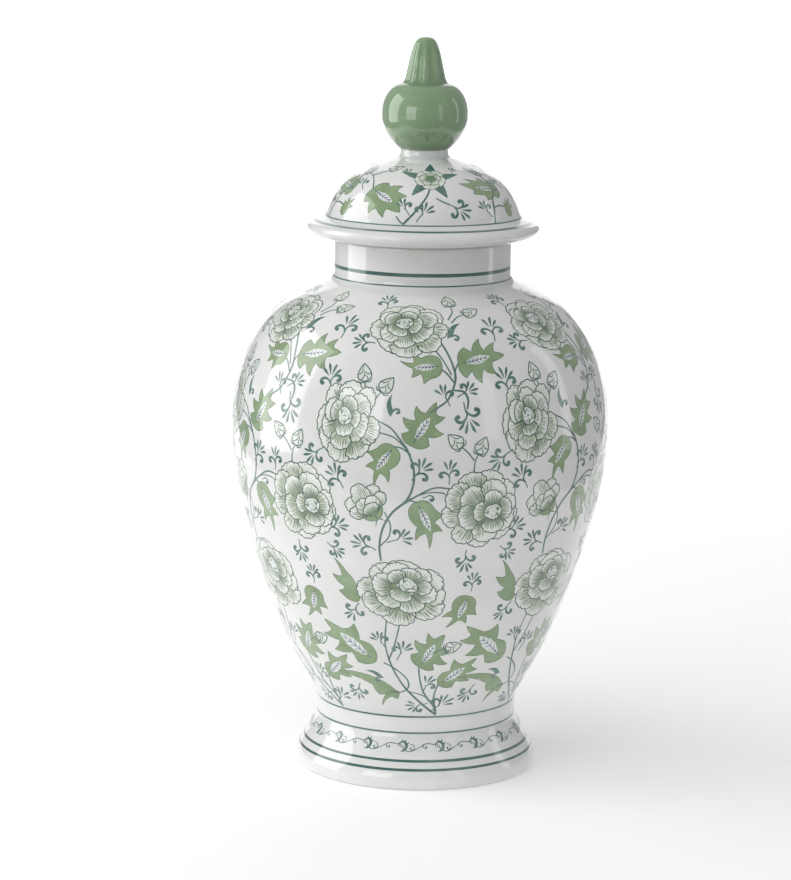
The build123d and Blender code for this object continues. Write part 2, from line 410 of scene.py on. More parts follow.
# ======================================================================
# mesh helpers
# ======================================================================
def make_object(name, verts, faces, mat, normals=None, attrs=None, smooth=True, sharp_angle=None):
    me = bpy.data.meshes.new(name)
    me.from_pydata([tuple(v) for v in np.asarray(verts).tolist()], [], faces)
    me.update()
    if smooth:
        me.shade_smooth()
    if sharp_angle is not None:
        me.set_sharp_from_angle(angle=math.radians(sharp_angle))
    for k, vals in (attrs or {}).items():
        dom = "CORNER" if len(vals) == len(me.loops) and len(vals) != len(me.vertices) else "POINT"
        a = me.attributes.new(k, "FLOAT", dom)
        a.data.foreach_set("value", np.asarray(vals, np.float32))
    if normals is not None:
        me.normals_split_custom_set_from_vertices([tuple(n) for n in np.asarray(normals).tolist()])
    me.materials.append(mat)
    ob = bpy.data.objects.new(name, me)
    SCENE.collection.objects.link(ob)
    return ob


def lathe(name, prof, mat, seg=320, closed=True, sharp=40.0, radius_fn=None, attrs_fn=None):
    """Turns a profile (mm, listed so the material is on its left going round) about the axis into a closed skin."""
    prof = np.asarray(prof, float)
    n = len(prof)
    th = np.linspace(0, 2 * math.pi, seg, endpoint=False)
    verts, rings, extra = [], [], []
    for i, (r, z) in enumerate(prof):
        if r < 1e-6:
            rings.append([len(verts)])
            verts.append((0.0, 0.0, z * MM))
            extra.append((i, 0.0))
        else:
            k = len(verts)
            rr = r if radius_fn is None else r * radius_fn(th, z)
            rr = np.broadcast_to(rr, th.shape)
            verts.extend(zip((rr * np.sin(th) * MM).tolist(), (-rr * np.cos(th) * MM).tolist(), [z * MM] * seg))
            rings.append(list(range(k, k + seg)))
            extra.extend((i, t) for t in th)
    faces = []
    pairs = [(i, i + 1) for i in range(n - 1)] + ([(n - 1, 0)] if closed else [])
    for i, j in pairs:
        a, b = rings[i], rings[j]
        if len(a) == 1 and len(b) == 1:
            continue
        for k in range(seg):
            l = (k + 1) % seg
            if len(a) == 1:
                faces.append((a[0], b[l], b[k]))
            elif len(b) == 1:
                faces.append((a[k], a[l], b[0]))
            else:
                faces.append((a[k], a[l], b[l], b[k]))
    attrs = attrs_fn(np.array(verts), extra) if attrs_fn else None
    return make_object(name, verts, faces, mat, attrs=attrs, sharp_angle=sharp)


def thin_profile(p, coarse=1.7, bend=0.035):
    """Drops profile points where the curve is nearly straight."""
    keep = [0]
    for i in range(1, len(p) - 1):
        a, b, c = p[keep[-1]], p[i], p[i + 1]
        u, v = b - a, c - b
        lu, lv = np.hypot(*u), np.hypot(*v)
        if lu < 1e-9 or lv < 1e-9:
            continue
        ang = abs(math.atan2(u[0] * v[1] - u[1] * v[0], u @ v))
        if lu >= coarse or ang > bend and lu > 0.18:
            keep.append(i)
    keep.append(len(p) - 1)
    return p[keep]


def push(p, wall):
    """The polyline moved inwards by the wall, square to itself."""
    t = np.gradient(p, axis=0)
    t /= np.hypot(t[:, 0], t[:, 1])[:, None]
    return p + wall * np.stack([-t[:, 1], t[:, 0]], 1)


# ======================================================================
# painted decoration: flat drawings in mm, wrapped onto the surface
# ======================================================================
rng = random.Random(7)


class Bucket:
    def __init__(self):
        self.v, self.n, self.f, self.w = [], [], [], []
        self.count = 0

    def add(self, v, n, f, w):
        self.v.append(v)
        self.n.append(n)
        self.f.extend([tuple(i + self.count for i in face) for face in f])
        self.w.extend(w)
        self.count += len(v)


class Paint:
    """Buckets for one surface. A unit is drawn once and then repeated round the axis."""

    def __init__(self, surf, grid=2.4):
        self.surf = surf
        self.grid = grid            # widest triangle, so flat facets stay on the curve
        self.b = {}

    def bucket(self, name):
        return self.b.setdefault(name, Bucket())

    def wrap(self, xy, T, h):
        x, y = xy[:, 0], xy[:, 1]
        s = T[1] + y
        th = T[0] + x / self.surf.r(s)
        return self.surf.at(th, s, h)

    def make(self, prefix, mats, offsets, body, cad_node):
        made = []
        for name, b in self.b.items():
            v0, n0 = np.concatenate(b.v), np.concatenate(b.n)
            V, N, F, W = [], [], [], []
            for k, o in enumerate(offsets):
                c, s = math.cos(o), math.sin(o)
                R = np.array([[c, -s, 0], [s, c, 0], [0, 0, 1]])
                V.append(v0 @ R.T)
                N.append(n0 @ R.T)
                F.extend([tuple(i + k * len(v0) for i in f) for f in b.f])
                W.extend(b.w)
            ob = make_object(prefix + name, np.concatenate(V), F, mats[name],
                             normals=np.concatenate(N), attrs={"wash": W})
            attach(ob, body)
            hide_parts(cad_node)
            made.append(ob)
        return made


def xf(pts, pos=(0, 0), rot=0.0, scale=1.0, mirror=False, sx=1.0, sy=1.0):
    p = np.array(pts, float) * [sx, sy] * scale
    if mirror:
        p = p * [-1, 1]
    c, s = math.cos(rot), math.sin(rot)
    return p @ np.array([[c, s], [-s, c]]) + np.array(pos)


def inside(pt, poly):
    x, y = pt
    a, b = poly, np.roll(poly, -1, axis=0)
    cond = (a[:, 1] > y) != (b[:, 1] > y)
    den = np.where(np.abs(b[:, 1] - a[:, 1]) < 1e-12, 1e-12, b[:, 1] - a[:, 1])
    xi = a[:, 0] + (y - a[:, 1]) * (b[:, 0] - a[:, 0]) / den
    return bool(np.count_nonzero(cond & (x < xi)) % 2)


def smooth_path(pts, n=8):
    """Catmull-Rom through the points."""
    p = np.array(pts, float)
    p = np.concatenate([[2 * p[0] - p[1]], p, [2 * p[-1] - p[-2]]])
    out = []
    for i in range(1, len(p) - 2):
        t = np.linspace(0, 1, n, endpoint=False)[:, None]
        a, b, c, d = p[i - 1], p[i], p[i + 1], p[i + 2]
        out.append(0.5 * ((2 * b) + (c - a) * t + (2 * a - 5 * b + 4 * c - d) * t ** 2
                          + (3 * b - a - 3 * c + d) * t ** 3))
    out.append(p[-2:-1])
    return np.concatenate(out)


def bezier(a, c, b, n=8):
    t = np.linspace(0, 1, n)[:, None]
    a, c, b = map(lambda q: np.array(q, float), (a, c, b))
    return (1 - t) ** 2 * a + 2 * t * (1 - t) * c + t ** 2 * b


def clean(poly, eps=0.02):
    out = [poly[0]]
    for q in poly[1:]:
        if np.hypot(*(q - out[-1])) > eps:
            out.append(q)
    if np.hypot(*(out[-1] - out[0])) < eps:
        out.pop()
    out = np.array(out)
    nxt = np.roll(out, -1, axis=0)
    area = np.sum(out[:, 0] * nxt[:, 1] - out[:, 1] * nxt[:, 0])
    return out if area > 0 else out[::-1]       # always counter-clockwise


def fill(paint, bucket, polys, T, h, washes=None):
    """Closed thin patch covering the polygons; each point takes the wash of the topmost polygon there."""
    polys = [clean(p) for p in polys]
    grid = paint.grid
    allp = np.concatenate(polys)
    lo, hi = allp.min(0), allp.max(0)
    pts = [Vector(q) for q in allp]
    faces, k = [], 0
    for p in polys:
        faces.append(list(range(k, k + len(p))))
        k += len(p)
    g = grid
    row = 0
    y = lo[1] + g / 2
    while y < hi[1]:
        x = lo[0] + (g / 2 if row % 2 else 0)
        while x < hi[0]:
            if any(inside((x, y), p) for p in polys):
                if np.min(np.hypot(allp[:, 0] - x, allp[:, 1] - y)) > 0.35 * g:
                    pts.append(Vector((x, y)))
            x += g
        y += g * 0.87
        row += 1
    V, _, F, _, _, OF = delaunay_2d_cdt(pts, [], faces, 1, 1e-5, True)
    V = np.array([tuple(q) for q in V])
    tri = []
    for f, of in zip(F, OF):
        if not of:
            continue
        f = list(f)
        for j in range(1, len(f) - 1):
            t = (f[0], f[j], f[j + 1])
            a, b, c = V[t[0]], V[t[1]], V[t[2]]
            ar = (b[0] - a[0]) * (c[1] - a[1]) - (b[1] - a[1]) * (c[0] - a[0])
            if abs(ar) < 1e-9:
                continue
            tri.append((t if ar > 0 else (t[0], t[2], t[1]), max(of)))
    if not tri:
        return
    used = sorted({i for t, _ in tri for i in t})
    idx = {o: i for i, o in enumerate(used)}
    V = V[used]
    tri = [(tuple(idx[i] for i in t), p) for t, p in tri]
    n = len(V)
    top, nrm = paint.wrap(V, T, h)
    bot, _ = paint.wrap(V, T, -0.05)
    edge = {}
    for t, _ in tri:
        for i in range(3):
            e = (t[i], t[(i + 1) % 3])
            edge[e] = edge.get(e, 0) + 1
    out_f, out_w = [], []
    for t, p in tri:
        out_f.append(t)
        for i in t:
            out_w.append(washes[p](V[i]) if washes else 0.5)
    for t, p in tri:
        out_f.append((t[2] + n, t[1] + n, t[0] + n))
        out_w.extend([0.5] * 3)
    for (a, b) in edge:
        if (b, a) not in edge:
            out_f.append((b, a, a + n, b + n))
            out_w.extend([0.5] * 4)
    paint.bucket(bucket).add(np.concatenate([top, bot]), np.concatenate([nrm, nrm]), out_f, out_w)


def stroke(paint, bucket, pts, widths, T, h, round_ends=(False, False), closed=False):
    """A painted line of changing width: a slim closed ridge sunk in the glaze. widths are half widths."""
    p = np.array(pts, float)
    if len(p) < 2:
        return
    w = np.interp(np.linspace(0, 1, len(p)), np.linspace(0, 1, len(widths)), widths) if np.ndim(widths) else np.full(len(p), float(widths))
    far = paint.grid * 0.7
    if np.max(np.hypot(*np.diff(p, axis=0).T)) > far:
        d = np.r_[0, np.cumsum(np.hypot(*np.diff(p, axis=0).T))]
        q = np.unique(np.r_[d, np.linspace(0, d[-1], int(d[-1] / far) + 2)])
        w = np.interp(q, d, w)
        p = np.stack([np.interp(q, d, p[:, k]) for k in range(2)], 1)
    seg = np.hypot(*np.diff(p, axis=0).T)
    keep = np.r_[True, seg > 1e-4]
    p, w = p[keep], w[keep]
    if len(p) < 2:
        return
    if closed:
        t = np.roll(p, -1, 0) - np.roll(p, 1, 0)
    else:
        t = np.gradient(p, axis=0)
    t /= np.maximum(np.hypot(t[:, 0], t[:, 1]), 1e-9)[:, None]
    if not closed:
        for end, flag in ((0, round_ends[0]), (-1, round_ends[1])):
            if flag:
                d = -t[0] if end == 0 else t[-1]
                q, r0 = p[end], w[end]
                ang = np.array([0.35, 0.7, 0.9, 1.0])
                cap_p = [q + d * r0 * math.sin(a * math.pi / 2) for a in ang]
                cap_w = [max(r0 * math.cos(a * math.pi / 2), 0.02) for a in ang]
                tt = t[0] if end == 0 else t[-1]
                if end == 0:
                    p = np.concatenate([cap_p[::-1], p])
                    w = np.r_[cap_w[::-1], w]
                    t = np.concatenate([[tt] * 4, t])
                else:
                    p = np.concatenate([p, cap_p])
                    w = np.r_[w, cap_w]
                    t = np.concatenate([t, [tt] * 4])
    nn = np.stack([-t[:, 1], t[:, 0]], 1)
    L, R = p + nn * w[:, None], p - nn * w[:, None]
    m = len(p)
    tl, n1 = paint.wrap(L, T, h)
    tr, n2 = paint.wrap(R, T, h)
    bc, n3 = paint.wrap(p, T, -0.05)
    v = np.concatenate([tl, tr, bc])
    nr = np.concatenate([n1, n2, n3])
    f = []
    rngm = range(m) if closed else range(m - 1)
    for i in rngm:
        j = (i + 1) % m
        l0, l1, r0, r1, b0, b1 = i, j, m + i, m + j, 2 * m + i, 2 * m + j
        f += [(l0, r0, r1, l1), (l1, b1, b0, l0), (r0, b0, b1, r1)]
    if not closed:
        f += [(0, 2 * m, m), (m - 1, 2 * m - 1, 3 * m - 1)]
    paint.bucket(bucket).add(v, nr, f, [0.5] * sum(len(q) for q in f))


def visible_runs(pts, covers):
    """Parts of the polyline that no covering polygon hides."""
    runs, cur = [], []
    for q in pts:
        if any(inside(q, c) for c in covers):
            if len(cur) > 1:
                runs.append(np.array(cur))
            cur = []
        else:
            cur.append(q)
    if len(cur) > 1:
        runs.append(np.array(cur))
    return runs


# ---- petals and peonies -------------------------------------------------
def petal(base, ang, L, W, lobes=5, amp=0.05, seed=0, spread=112):
    """One scalloped petal: outline, hatch lines and wash function. ang 0 points up."""
    r = random.Random(seed)
    ph = r.uniform(0, 1)
    n = 8 * lobes + 1
    u = np.linspace(0, 1, n)
    phi = np.radians(spread) * (1 - 2 * u)              # from left... to right
    cuts = np.r_[0, np.cumsum([r.uniform(0.7, 1.3) for _ in range(lobes)])]
    bump = np.abs(np.sin(math.pi * np.interp(u, cuts / cuts[-1], np.arange(lobes + 1))))
    sc = 1 + 1.7 * amp * (bump ** 0.6 - 0.6)
    yc, hy = 0.56 * L, 0.44 * L
    skew = r.uniform(-0.06, 0.06) * W
    x = -np.sin(phi) * W / 2 * sc + skew * (np.cos(phi) > 0) * np.cos(phi)
    y = yc + np.cos(phi) * hy * sc
    rim = np.stack([x, y], 1)
    a0, a1 = rim[0], rim[-1]
    left = bezier((-0.07 * W, 0), (-0.30 * W, 0.12 * L), a0, 7)[:-1]
    rightc = bezier(a1, (0.30 * W, 0.12 * L), (0.07 * W, 0), 7)[1:]
    local = np.concatenate([left, rim, rightc])
    outline = np.concatenate([left[1:], rim, rightc[:-1]])
    hatch = []
    nh = max(5, int(W / 0.98))
    for k in range(nh):
        a = (k + 0.5) / nh * 2 - 1
        a += r.uniform(-0.05, 0.05)
        top_phi = a * math.radians(78)
        tx, ty = math.sin(top_phi) * W / 2, yc + math.cos(top_phi) * hy
        bx, by = a * 0.12 * W, 0.06 * L
        f0 = r.uniform(0.10, 0.22)
        f1 = r.uniform(0.78, 0.95) if abs(a) < 0.75 else r.uniform(0.66, 0.86)
        p0 = np.array([bx, by]) * (1 - f0) + np.array([tx, ty]) * f0
        p1 = np.array([bx, by]) * (1 - f1) + np.array([tx, ty]) * f1
        mid = (p0 + p1) / 2 + np.array([a * 0.06 * W, 0])
        hatch.append(bezier(p0, mid, p1, 5))
    # short strokes that run back in from the rim
    for k in range(max(3, int(W / 2.6))):
        a = r.uniform(-0.9, 0.9)
        top_phi = a * math.radians(85)
        tip = np.array([math.sin(top_phi) * W / 2 * 0.93, yc + math.cos(top_phi) * hy * 0.93])
        inn = tip * 0.86 + np.array([0, yc * 0.14])
        hatch.append(np.array([tip, (tip + inn) / 2, inn]))
    c, s = math.cos(-ang), math.sin(-ang)
    R = np.array([[c, s], [-s, c]])
    tf = lambda q: np.asarray(q) @ R + np.array(base)
    inv = lambda q: (np.asarray(q) - np.array(base)) @ R.T

    def wash(q):
        g = inv(q)
        t = g[1] / L + 0.12 * (abs(g[0]) / (W / 2)) ** 2
        return float(min(max(t, 0.0), 1.0))
    return {"poly": tf(local), "line": tf(outline), "hatch": [tf(hh) for hh in hatch], "wash": wash}


def squash_petal(pt, pos, rot, sx, sy):
    inv_scale = np.array([sx, sy])
    c, s = math.cos(rot), math.sin(rot)
    R = np.array([[c, s], [-s, c]])
    f = lambda q: (np.asarray(q) * inv_scale) @ R + np.array(pos)
    g = lambda q: ((np.asarray(q) - np.array(pos)) @ R.T) / inv_scale
    w0 = pt["wash"]
    return {"poly": f(pt["poly"]), "line": f(pt["line"]), "hatch": [f(h) for h in pt["hatch"]],
            "wash": (lambda q: w0(g(q)))}


def draw_petals(paint, petals, T, line_w=0.28, hatch_w=0.21, fill_bucket="petal"):
    polys = [p["poly"] for p in petals]
    fill(paint, fill_bucket, polys, T, 0.046, [p["wash"] for p in petals])
    for i, p in enumerate(petals):
        covers = polys[i + 1:]
        for run in visible_runs(p["line"], covers):
            stroke(paint, "line", run, line_w, T, 0.066)
        for hl in p["hatch"]:
            for run in visible_runs(hl, covers):
                if len(run) >= 3:
                    stroke(paint, "hatch", run, (0.10, hatch_w, 0.06), T, 0.058)


def peony(paint, T, R, rot=0.0, sx=1.0, sy=1.0, seed=1, centre=(0.0, 0.0), rings=None):
    """A full-blown peony in overlapping rings of scalloped petals round a stippled heart."""
    r = random.Random(seed)
    petals = []
    rings = rings or [(8, 0.34, 0.70, 0.76, 7), (6, 0.16, 0.64, 0.66, 6), (4, 0.08, 0.46, 0.54, 5)]
    cx, cy = centre[0] * R, centre[1] * R
    for ri, (cnt, b0, L, W, lobes) in enumerate(rings):
        a0 = r.uniform(0, 2 * math.pi)
        order = list(range(cnt))
        r.shuffle(order)
        k = ri / max(len(rings) - 1, 1)
        ox, oy = cx * k, cy * k
        for j in order:
            a = a0 + 2 * math.pi * (j + r.uniform(-0.20, 0.20)) / cnt
            LL, WW = L * R * r.uniform(0.88, 1.10), W * R * r.uniform(0.80, 1.15)
            base = (ox - math.sin(a) * -b0 * R, oy + math.cos(a) * b0 * R)
            base = (ox + math.sin(a) * b0 * R, oy + math.cos(a) * b0 * R)
            petals.append(petal(base, a, LL, WW, lobes=lobes + r.choice((0, 0, 1)), amp=0.075 - 0.01 * ri, seed=r.randrange(10 ** 6)))
    # folded inner petals, cupping the heart
    a0 = r.uniform(-0.5, 0.5)
    for a, L, W in ((a0 + 2.5, 0.30, 0.46), (a0 - 2.2, 0.28, 0.42), (a0 + 0.3, 0.26, 0.44)):
        base = (cx - math.sin(a) * 0.07 * R, cy - math.cos(a) * 0.07 * R)
        petals.append(petal(base, a, L * R, W * R, lobes=4, amp=0.05, seed=r.randrange(10 ** 6)))
    petals = [squash_petal(p, (0, 0), rot, sx, sy) for p in petals]
    draw_petals(paint, petals, T)
    # heart: pale disc with stippled anthers
    hr = 0.115 * R
    c0 = xf([(cx, cy)], rot=rot, sx=sx, sy=sy)[0]
    n = 26
    t = np.linspace(0, 2 * math.pi, n, endpoint=False)
    rr = hr * (1 + 0.09 * np.sin(5 * t + seed) + 0.05 * np.sin(9 * t))
    disc = np.stack([c0[0] + rr * np.cos(t) * sx, c0[1] + rr * np.sin(t) * sy], 1)
    fill(paint, "inlay", [disc], T, 0.072, None)
    for i in range(int(9 + hr * 4)):
        q = math.sqrt(r.uniform(0.02, 1)) * hr * 0.82
        a = i * 2.39996
        c = c0 + np.array([q * math.cos(a) * sx, q * math.sin(a) * sy])
        blob(paint, "line", c, 0.20, T, 0.085)


def blob(paint, bucket, c, rad, T, h, n=6):
    """A dot of pigment."""
    t = np.linspace(0, 2 * math.pi, n, endpoint=False)
    p = np.stack([c[0] + rad * np.cos(t), c[1] + rad * np.sin(t)], 1)
    top, n1 = paint.wrap(p, T, h)
    bot, n2 = paint.wrap(np.array([c]), T, -0.05)
    f = [tuple(range(n))] + [((i + 1) % n, i, n) for i in range(n)]
    paint.bucket(bucket).add(np.concatenate([top, bot]), np.concatenate([n1, n2]), f, [0.5] * sum(len(q) for q in f))


def half_open(paint, T, R, rot=0.0, seed=3):
    """A peony just opening, seen from the side, with green sepals under it."""
    r = random.Random(seed)
    P = []
    for a, L, W, b in ((-0.62, 1.28, 0.86, (-0.10, -0.30)), (0.62, 1.25, 0.84, (0.10, -0.30)),
                       (0.0, 1.5, 1.0, (0.0, -0.34)), (-1.02, 1.0, 0.66, (-0.16, -0.36)),
                       (1.02, 1.0, 0.66, (0.16, -0.36)), (-0.28, 0.98, 0.80, (-0.06, -0.52)),
                       (0.34, 0.92, 0.76, (0.08, -0.54)), (0.02, 0.66, 0.86, (0.0, -0.62))):
        P.append(petal((b[0] * R, b[1] * R), a, L * R, W * R, lobes=4 + r.choice((0, 1)), amp=0.07, seed=r.randrange(10 ** 6)))
    P = [squash_petal(p, (0, 0), rot, 1, 1) for p in P]
    draw_petals(paint, P, T)
    for sgn in (-1, 1):
        sep = np.concatenate([bezier((0.02 * sgn * R, -0.86 * R), (0.42 * sgn * R, -0.84 * R), (0.62 * sgn * R, -0.36 * R), 7),
                              bezier((0.62 * sgn * R, -0.36 * R), (0.30 * sgn * R, -0.52 * R), (0.0, -0.62 * R), 6)[1:]])
        q = xf(sep, rot=rot)
        fill(paint, "leaf", [q], T, 0.072, None)
        stroke(paint, "line", np.concatenate([q, q[:1]]), 0.16, T, 0.084)
    for a, l in ((-0.7, 0.55), (0.55, 0.6), (0.05, 0.0)):
        if l:
            p = xf([(0, -0.80 * R), (math.sin(a) * l * R * 0.5, -0.80 * R - l * R * 0.25), (math.sin(a) * l * R, -0.80 * R - l * R * math.cos(a) * 0.75)], rot=rot)
            stroke(paint, "line", smooth_path(p, 5), (0.30, 0.26, 0.06), T, 0.06)


# ---- leaves -------------------------------------------------------------
# each side: base, then (control, tip, control, notch) ..., ending at the apex; length 1 along +y
LEAF_A = ([(0, 0), ((0.24, -0.03), (0.35, 0.12)), ((0.26, 0.17), (0.22, 0.26)), ((0.40, 0.26), (0.53, 0.41)),
           ((0.34, 0.41), (0.23, 0.50)), ((0.37, 0.54), (0.42, 0.74)), ((0.24, 0.65), (0.14, 0.71)), ((0.15, 0.86), (0.10, 1.0))],
          [(0, 0), ((-0.27, 0.0), (-0.35, 0.19)), ((-0.27, 0.25), (-0.21, 0.33)), ((-0.40, 0.36), (-0.48, 0.54)),
           ((-0.30, 0.50), (-0.17, 0.59)), ((-0.27, 0.68), (-0.28, 0.84)), ((-0.13, 0.75), (-0.05, 0.81)), ((0.0, 0.92), (0.10, 1.0))])
LEAF_B = ([(0, 0), ((0.32, -0.02), (0.35, 0.26)), ((0.33, 0.40), (0.26, 0.48)), ((0.38, 0.53), (0.45, 0.71)),
           ((0.27, 0.63), (0.13, 0.68)), ((0.12, 0.82), (0.18, 1.0))],
          [(0, 0), ((-0.32, 0.02), (-0.33, 0.30)), ((-0.36, 0.40), (-0.48, 0.53)), ((-0.30, 0.50), (-0.17, 0.56)),
           ((-0.25, 0.64), (-0.29, 0.80)), ((-0.11, 0.70), (-0.02, 0.74)), ((0.04, 0.88), (0.18, 1.0))])
LEAF_C = ([(0, 0), ((0.20, 0.02), (0.22, 0.26)), ((0.24, 0.50), (0.10, 0.68)), ((0.05, 0.84), (-0.10, 1.0))],
          [(0, 0), ((-0.26, 0.06), (-0.36, 0.34)), ((-0.20, 0.30), (-0.13, 0.38)), ((-0.28, 0.46), (-0.34, 0.70)),
           ((-0.14, 0.58), (-0.06, 0.62)), ((-0.02, 0.80), (-0.10, 1.0))])
LEAF_D = ([(0, 0), ((0.18, 0.02), (0.26, 0.19)), ((0.19, 0.27), (0.17, 0.35)), ((0.30, 0.41), (0.39, 0.57)),
           ((0.24, 0.54), (0.14, 0.61)), ((0.23, 0.70), (0.26, 0.86)), ((0.12, 0.77), (0.06, 0.82)), ((0.05, 0.92), (0.0, 1.0))],
          [(0, 0), ((-0.20, 0.05), (-0.23, 0.24)), ((-0.20, 0.32), (-0.16, 0.40)), ((-0.27, 0.46), (-0.36, 0.62)),
           ((-0.19, 0.60), (-0.10, 0.70)), ((-0.05, 0.88), (0.0, 1.0))])
LEAF_E = ([(0, 0), ((0.22, 0.30), (0.10, 0.62)), ((0.02, 0.86), (-0.18, 1.0))],
          [(0, 0), ((-0.16, 0.06), (-0.30, 0.22)), ((-0.22, 0.34), (-0.10, 0.38)), ((-0.04, 0.74), (-0.18, 1.0))])
LEAF_STAR = ([(0, 0), ((0.30, -0.04), (0.42, 0.10)), ((0.34, 0.16), (0.33, 0.24)), ((0.46, 0.26), (0.58, 0.40)),
              ((0.42, 0.40), (0.35, 0.48)), ((0.42, 0.56), (0.46, 0.76)), ((0.30, 0.66), (0.21, 0.70)), ((0.20, 0.86), (0.14, 1.0))],
             [(0, 0), ((-0.30, -0.02), (-0.38, 0.18)), ((-0.32, 0.24), (-0.31, 0.30)), ((-0.44, 0.36), (-0.50, 0.54)),
              ((-0.37, 0.50), (-0.29, 0.57)), ((-0.32, 0.68), (-0.30, 0.84)), ((-0.17, 0.74), (-0.09, 0.79)), ((0.02, 0.92), (0.14, 1.0))])
LEAVES = {"A": LEAF_A, "B": LEAF_B, "C": LEAF_C, "D": LEAF_D, "E": LEAF_E, "S": LEAF_STAR}


def leaf(paint, kind, T, L, rot, mirror=False, bend=0.0, inlay=True, width=1.0, pos=(0, 0)):
    """A lobed leaf with a pale veined inlay. rot 0 points up; positive turns it to the left."""
    def side(path):
        cur = np.array(path[0], float)
        out = [cur[None]]
        for ctrl, pt in path[1:]:
            out.append(bezier(cur, ctrl, pt, 6)[1:])
            cur = np.array(pt, float)
        return np.concatenate(out)
    rgt, lft = side(LEAVES[kind][0]), side(LEAVES[kind][1])
    poly = np.concatenate([rgt, lft[::-1][1:-1]])

    def shape(p):
        p = np.array(p, float) * [width, 1.0]
        p[:, 0] += bend * p[:, 1] ** 2
        return xf(p, pos=pos, rot=rot, scale=L, mirror=mirror)
    q = shape(poly)
    ax = shape([(0, 0), (0, 1)])
    d = ax[1] - ax[0]
    ll = d @ d
    wash = lambda v: float(min(max(((np.asarray(v) - ax[0]) @ d) / ll, 0), 1))
    fill(paint, "leaf", [q], T, 0.020, [wash])
    stroke(paint, "leafline", np.concatenate([q, q[:1]]), 0.18, T, 0.030)
    if not inlay:
        return
    y0, y1, hw = 0.15, 0.68, 0.088
    n = 22
    t = np.linspace(0, 1, n)
    wv = hw * np.sin(math.pi * t) ** 0.8 * (1 + 0.16 * np.abs(np.sin(math.pi * 4.0 * t)))
    yv = y0 + (y1 - y0) * t
    lens = np.concatenate([np.stack([wv, yv], 1), np.stack([-wv[::-1], yv[::-1]], 1)[1:-1]])
    fill(paint, "inlay", [shape(lens)], T, 0.032, None)
    vein = shape(np.stack([np.zeros(8), np.linspace(y0 - 0.06, y1 - 0.03, 8)], 1))
    stroke(paint, "vein", vein, (0.21, 0.20, 0.08), T, 0.042)
    for k in range(5):
        yy = y0 + 0.05 + k * (y1 - y0 - 0.10) / 5
        wl = float(np.interp((yy + 0.05 - y0) / (y1 - y0), t, wv))
        for sg in (-1, 1):
            lat = shape([(0, yy), (sg * wl * 0.5, yy + 0.045), (sg * wl * 0.86, yy + 0.075)])
            stroke(paint, "vein", smooth_path(lat, 3), (0.17, 0.17, 0.07), T, 0.041)


# ---- buds, sprigs, flames, vines ---------------------------------------
def bud(paint, T, L, rot, pos=(0, 0), stem=None, mirror=False):
    f = lambda p: xf(np.array(p, float) * [1.30, 1.0], pos=pos, rot=rot, scale=L * 0.86, mirror=mirror)
    rgt = np.concatenate([bezier((0, 0), (0.34, 0.06), (0.30, 0.42), 7), bezier((0.30, 0.42), (0.22, 0.74), (0.03, 1.0), 7)[1:]])
    lft = np.concatenate([bezier((0, 0), (-0.32, 0.08), (-0.29, 0.40), 7), bezier((-0.29, 0.40), (-0.20, 0.70), (0.03, 1.0), 7)[1:]])
    body = np.concatenate([rgt, lft[::-1][1:-1]])
    fill(paint, "budfill", [f(body)], T, 0.022, None)
    stroke(paint, "line", np.concatenate([f(body), f(body[:1])]), 0.29, T, 0.038)
    for p in ([(-0.29, 0.42), (-0.10, 0.52), (0.03, 0.98)], [(0.30, 0.42), (0.14, 0.40), (-0.02, 0.62)],
              [(-0.16, 0.10), (-0.02, 0.30), (0.02, 0.56)], [(0.14, 0.10), (0.10, 0.26), (0.0, 0.34)]):
        stroke(paint, "line", f(smooth_path(p, 5)), (0.23, 0.24, 0.10), T, 0.038)
    for sg in (-1, 1):
        sep = smooth_path([(0.02 * sg, -0.03), (0.20 * sg, -0.04), (0.33 * sg, 0.12)], 5)
        stroke(paint, "sprig", f(sep), (0.34, 0.42, 0.08), T, 0.042, (True, False))
    if stem is not None:
        stroke(paint, "vine", smooth_path([f([(0, 0)])[0], *stem], 7), (0.34, 0.38, 0.44), T, 0.034)


